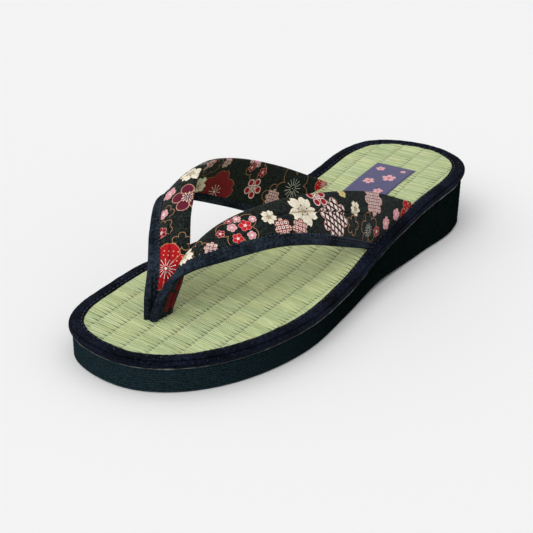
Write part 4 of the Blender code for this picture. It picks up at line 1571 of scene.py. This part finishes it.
def build_light():
    """White surroundings, brighter at the upper left, and one broad soft lamp from the toe side."""
    scene = bpy.context.scene
    scene.view_settings.view_transform = "Standard"
    scene.view_settings.look = "None"
    world = bpy.data.worlds.new("studio")
    world.use_nodes = True
    tree = world.node_tree
    looking = add(tree, "ShaderNodeTexCoord").outputs["Generated"]
    side = add(tree, "ShaderNodeVectorMath", {0: looking, 1: Vector(WORLD_FROM).normalized()},
               operation="DOT_PRODUCT").outputs["Value"]
    known = wire(tree, "ShaderNodeMath", {"side": side}, (
        ("share", "MULTIPLY_ADD", "side", 0.5, 0.5),
        ("curve", "POWER", "share", 1.6),
        ("strength", "MULTIPLY_ADD", "curve", WORLD_BRIGHT - WORLD_DARK, WORLD_DARK),
    ))
    feed(tree, tree.nodes["Background"], {0: (1.0, 1.0, 1.0, 1.0), 1: known["strength"]})
    scene.world = world
    data = bpy.data.lights.new("key", "SUN")
    data.energy = KEY_STRENGTH
    data.angle = math.radians(KEY_SPREAD)
    lamp = bpy.data.objects.new("key", data)
    scene.collection.objects.link(lamp)
    lamp.rotation_euler = (-Vector(KEY_FROM)).to_track_quat("-Z", "Y").to_euler()


def build_camera():
    azimuth = math.radians(CAMERA_AZIMUTH)
    elevation = math.radians(CAMERA_ELEVATION)
    roll = math.radians(CAMERA_ROLL)
    back = Vector((math.sin(azimuth) * math.cos(elevation), -math.cos(azimuth) * math.cos(elevation),
                   math.sin(elevation)))
    right = (-back).cross(Vector((0, 0, 1))).normalized()
    up = right.cross(-back)
    level = right.copy()
    right = right * math.cos(roll) + up * math.sin(roll)
    up = up * math.cos(roll) - level * math.sin(roll)
    data = bpy.data.cameras.new("photo_camera")
    data.lens = CAMERA_LENS
    data.sensor_width = 36.0
    data.clip_start = 0.05
    camera = bpy.data.objects.new("photo_camera", data)
    bpy.context.scene.collection.objects.link(camera)
    turn = Matrix((right, up, back)).transposed().to_4x4()
    camera.matrix_world = Matrix.Translation(Vector(CAMERA_TARGET) + back * CAMERA_DISTANCE) @ turn
    bpy.context.scene.camera = camera


def main():
    build_camera()
    build_floor()
    build_light()
    foam = sole_foam()
    build_outsole(foam)
    build_tread(foam)
    build_binding(cotton_tape("navy_cotton_tape", "03050C", "1B2132", 0.00060, 0.00018, 0.32))
    build_glue(glue())
    build_mat(rush())
    cloth = printed_cloth()
    piping = cotton_tape("slate_cotton_piping", "0B1119", "323D4A", 0.00055, 0.00016, 0.12)
    dark_thread = thread("black_sewing_thread", "07080B")
    stitches = stitch_tree()
    lines = []
    whipped = []
    for side_name in ("near", "far"):
        run = StrapRun(side_name, 500)
        build_strap(run, cloth)
        build_piping(run, piping)
        lines.extend(seam_lines(run))
        whipped.extend(whip_lines(run))
    slate_thread = thread("slate_sewing_thread", "1C202B")
    whip_thread = thread("grey_sewing_thread", "1D242E")
    # Lines, then pitch, stitch length and thickness in metres.
    for name, rows, pitch, length, thickness, material, slot in (
            ("piping_stitches", lines, 0.0026, 0.0019, 0.00050, dark_thread, "piping_cloth"),
            ("piping_whip_stitches", whipped, 0.0019, 0.0010, 0.00076, whip_thread, "piping_cloth"),
            ("binding_stitches", [(binding_seam(), True)], 0.0030, 0.0022, 0.00050, slate_thread,
             "edge_tape")):
        stitch_row(stitches, name, rows, pitch, length, thickness, material)
    build_label(label_cloth())


main()
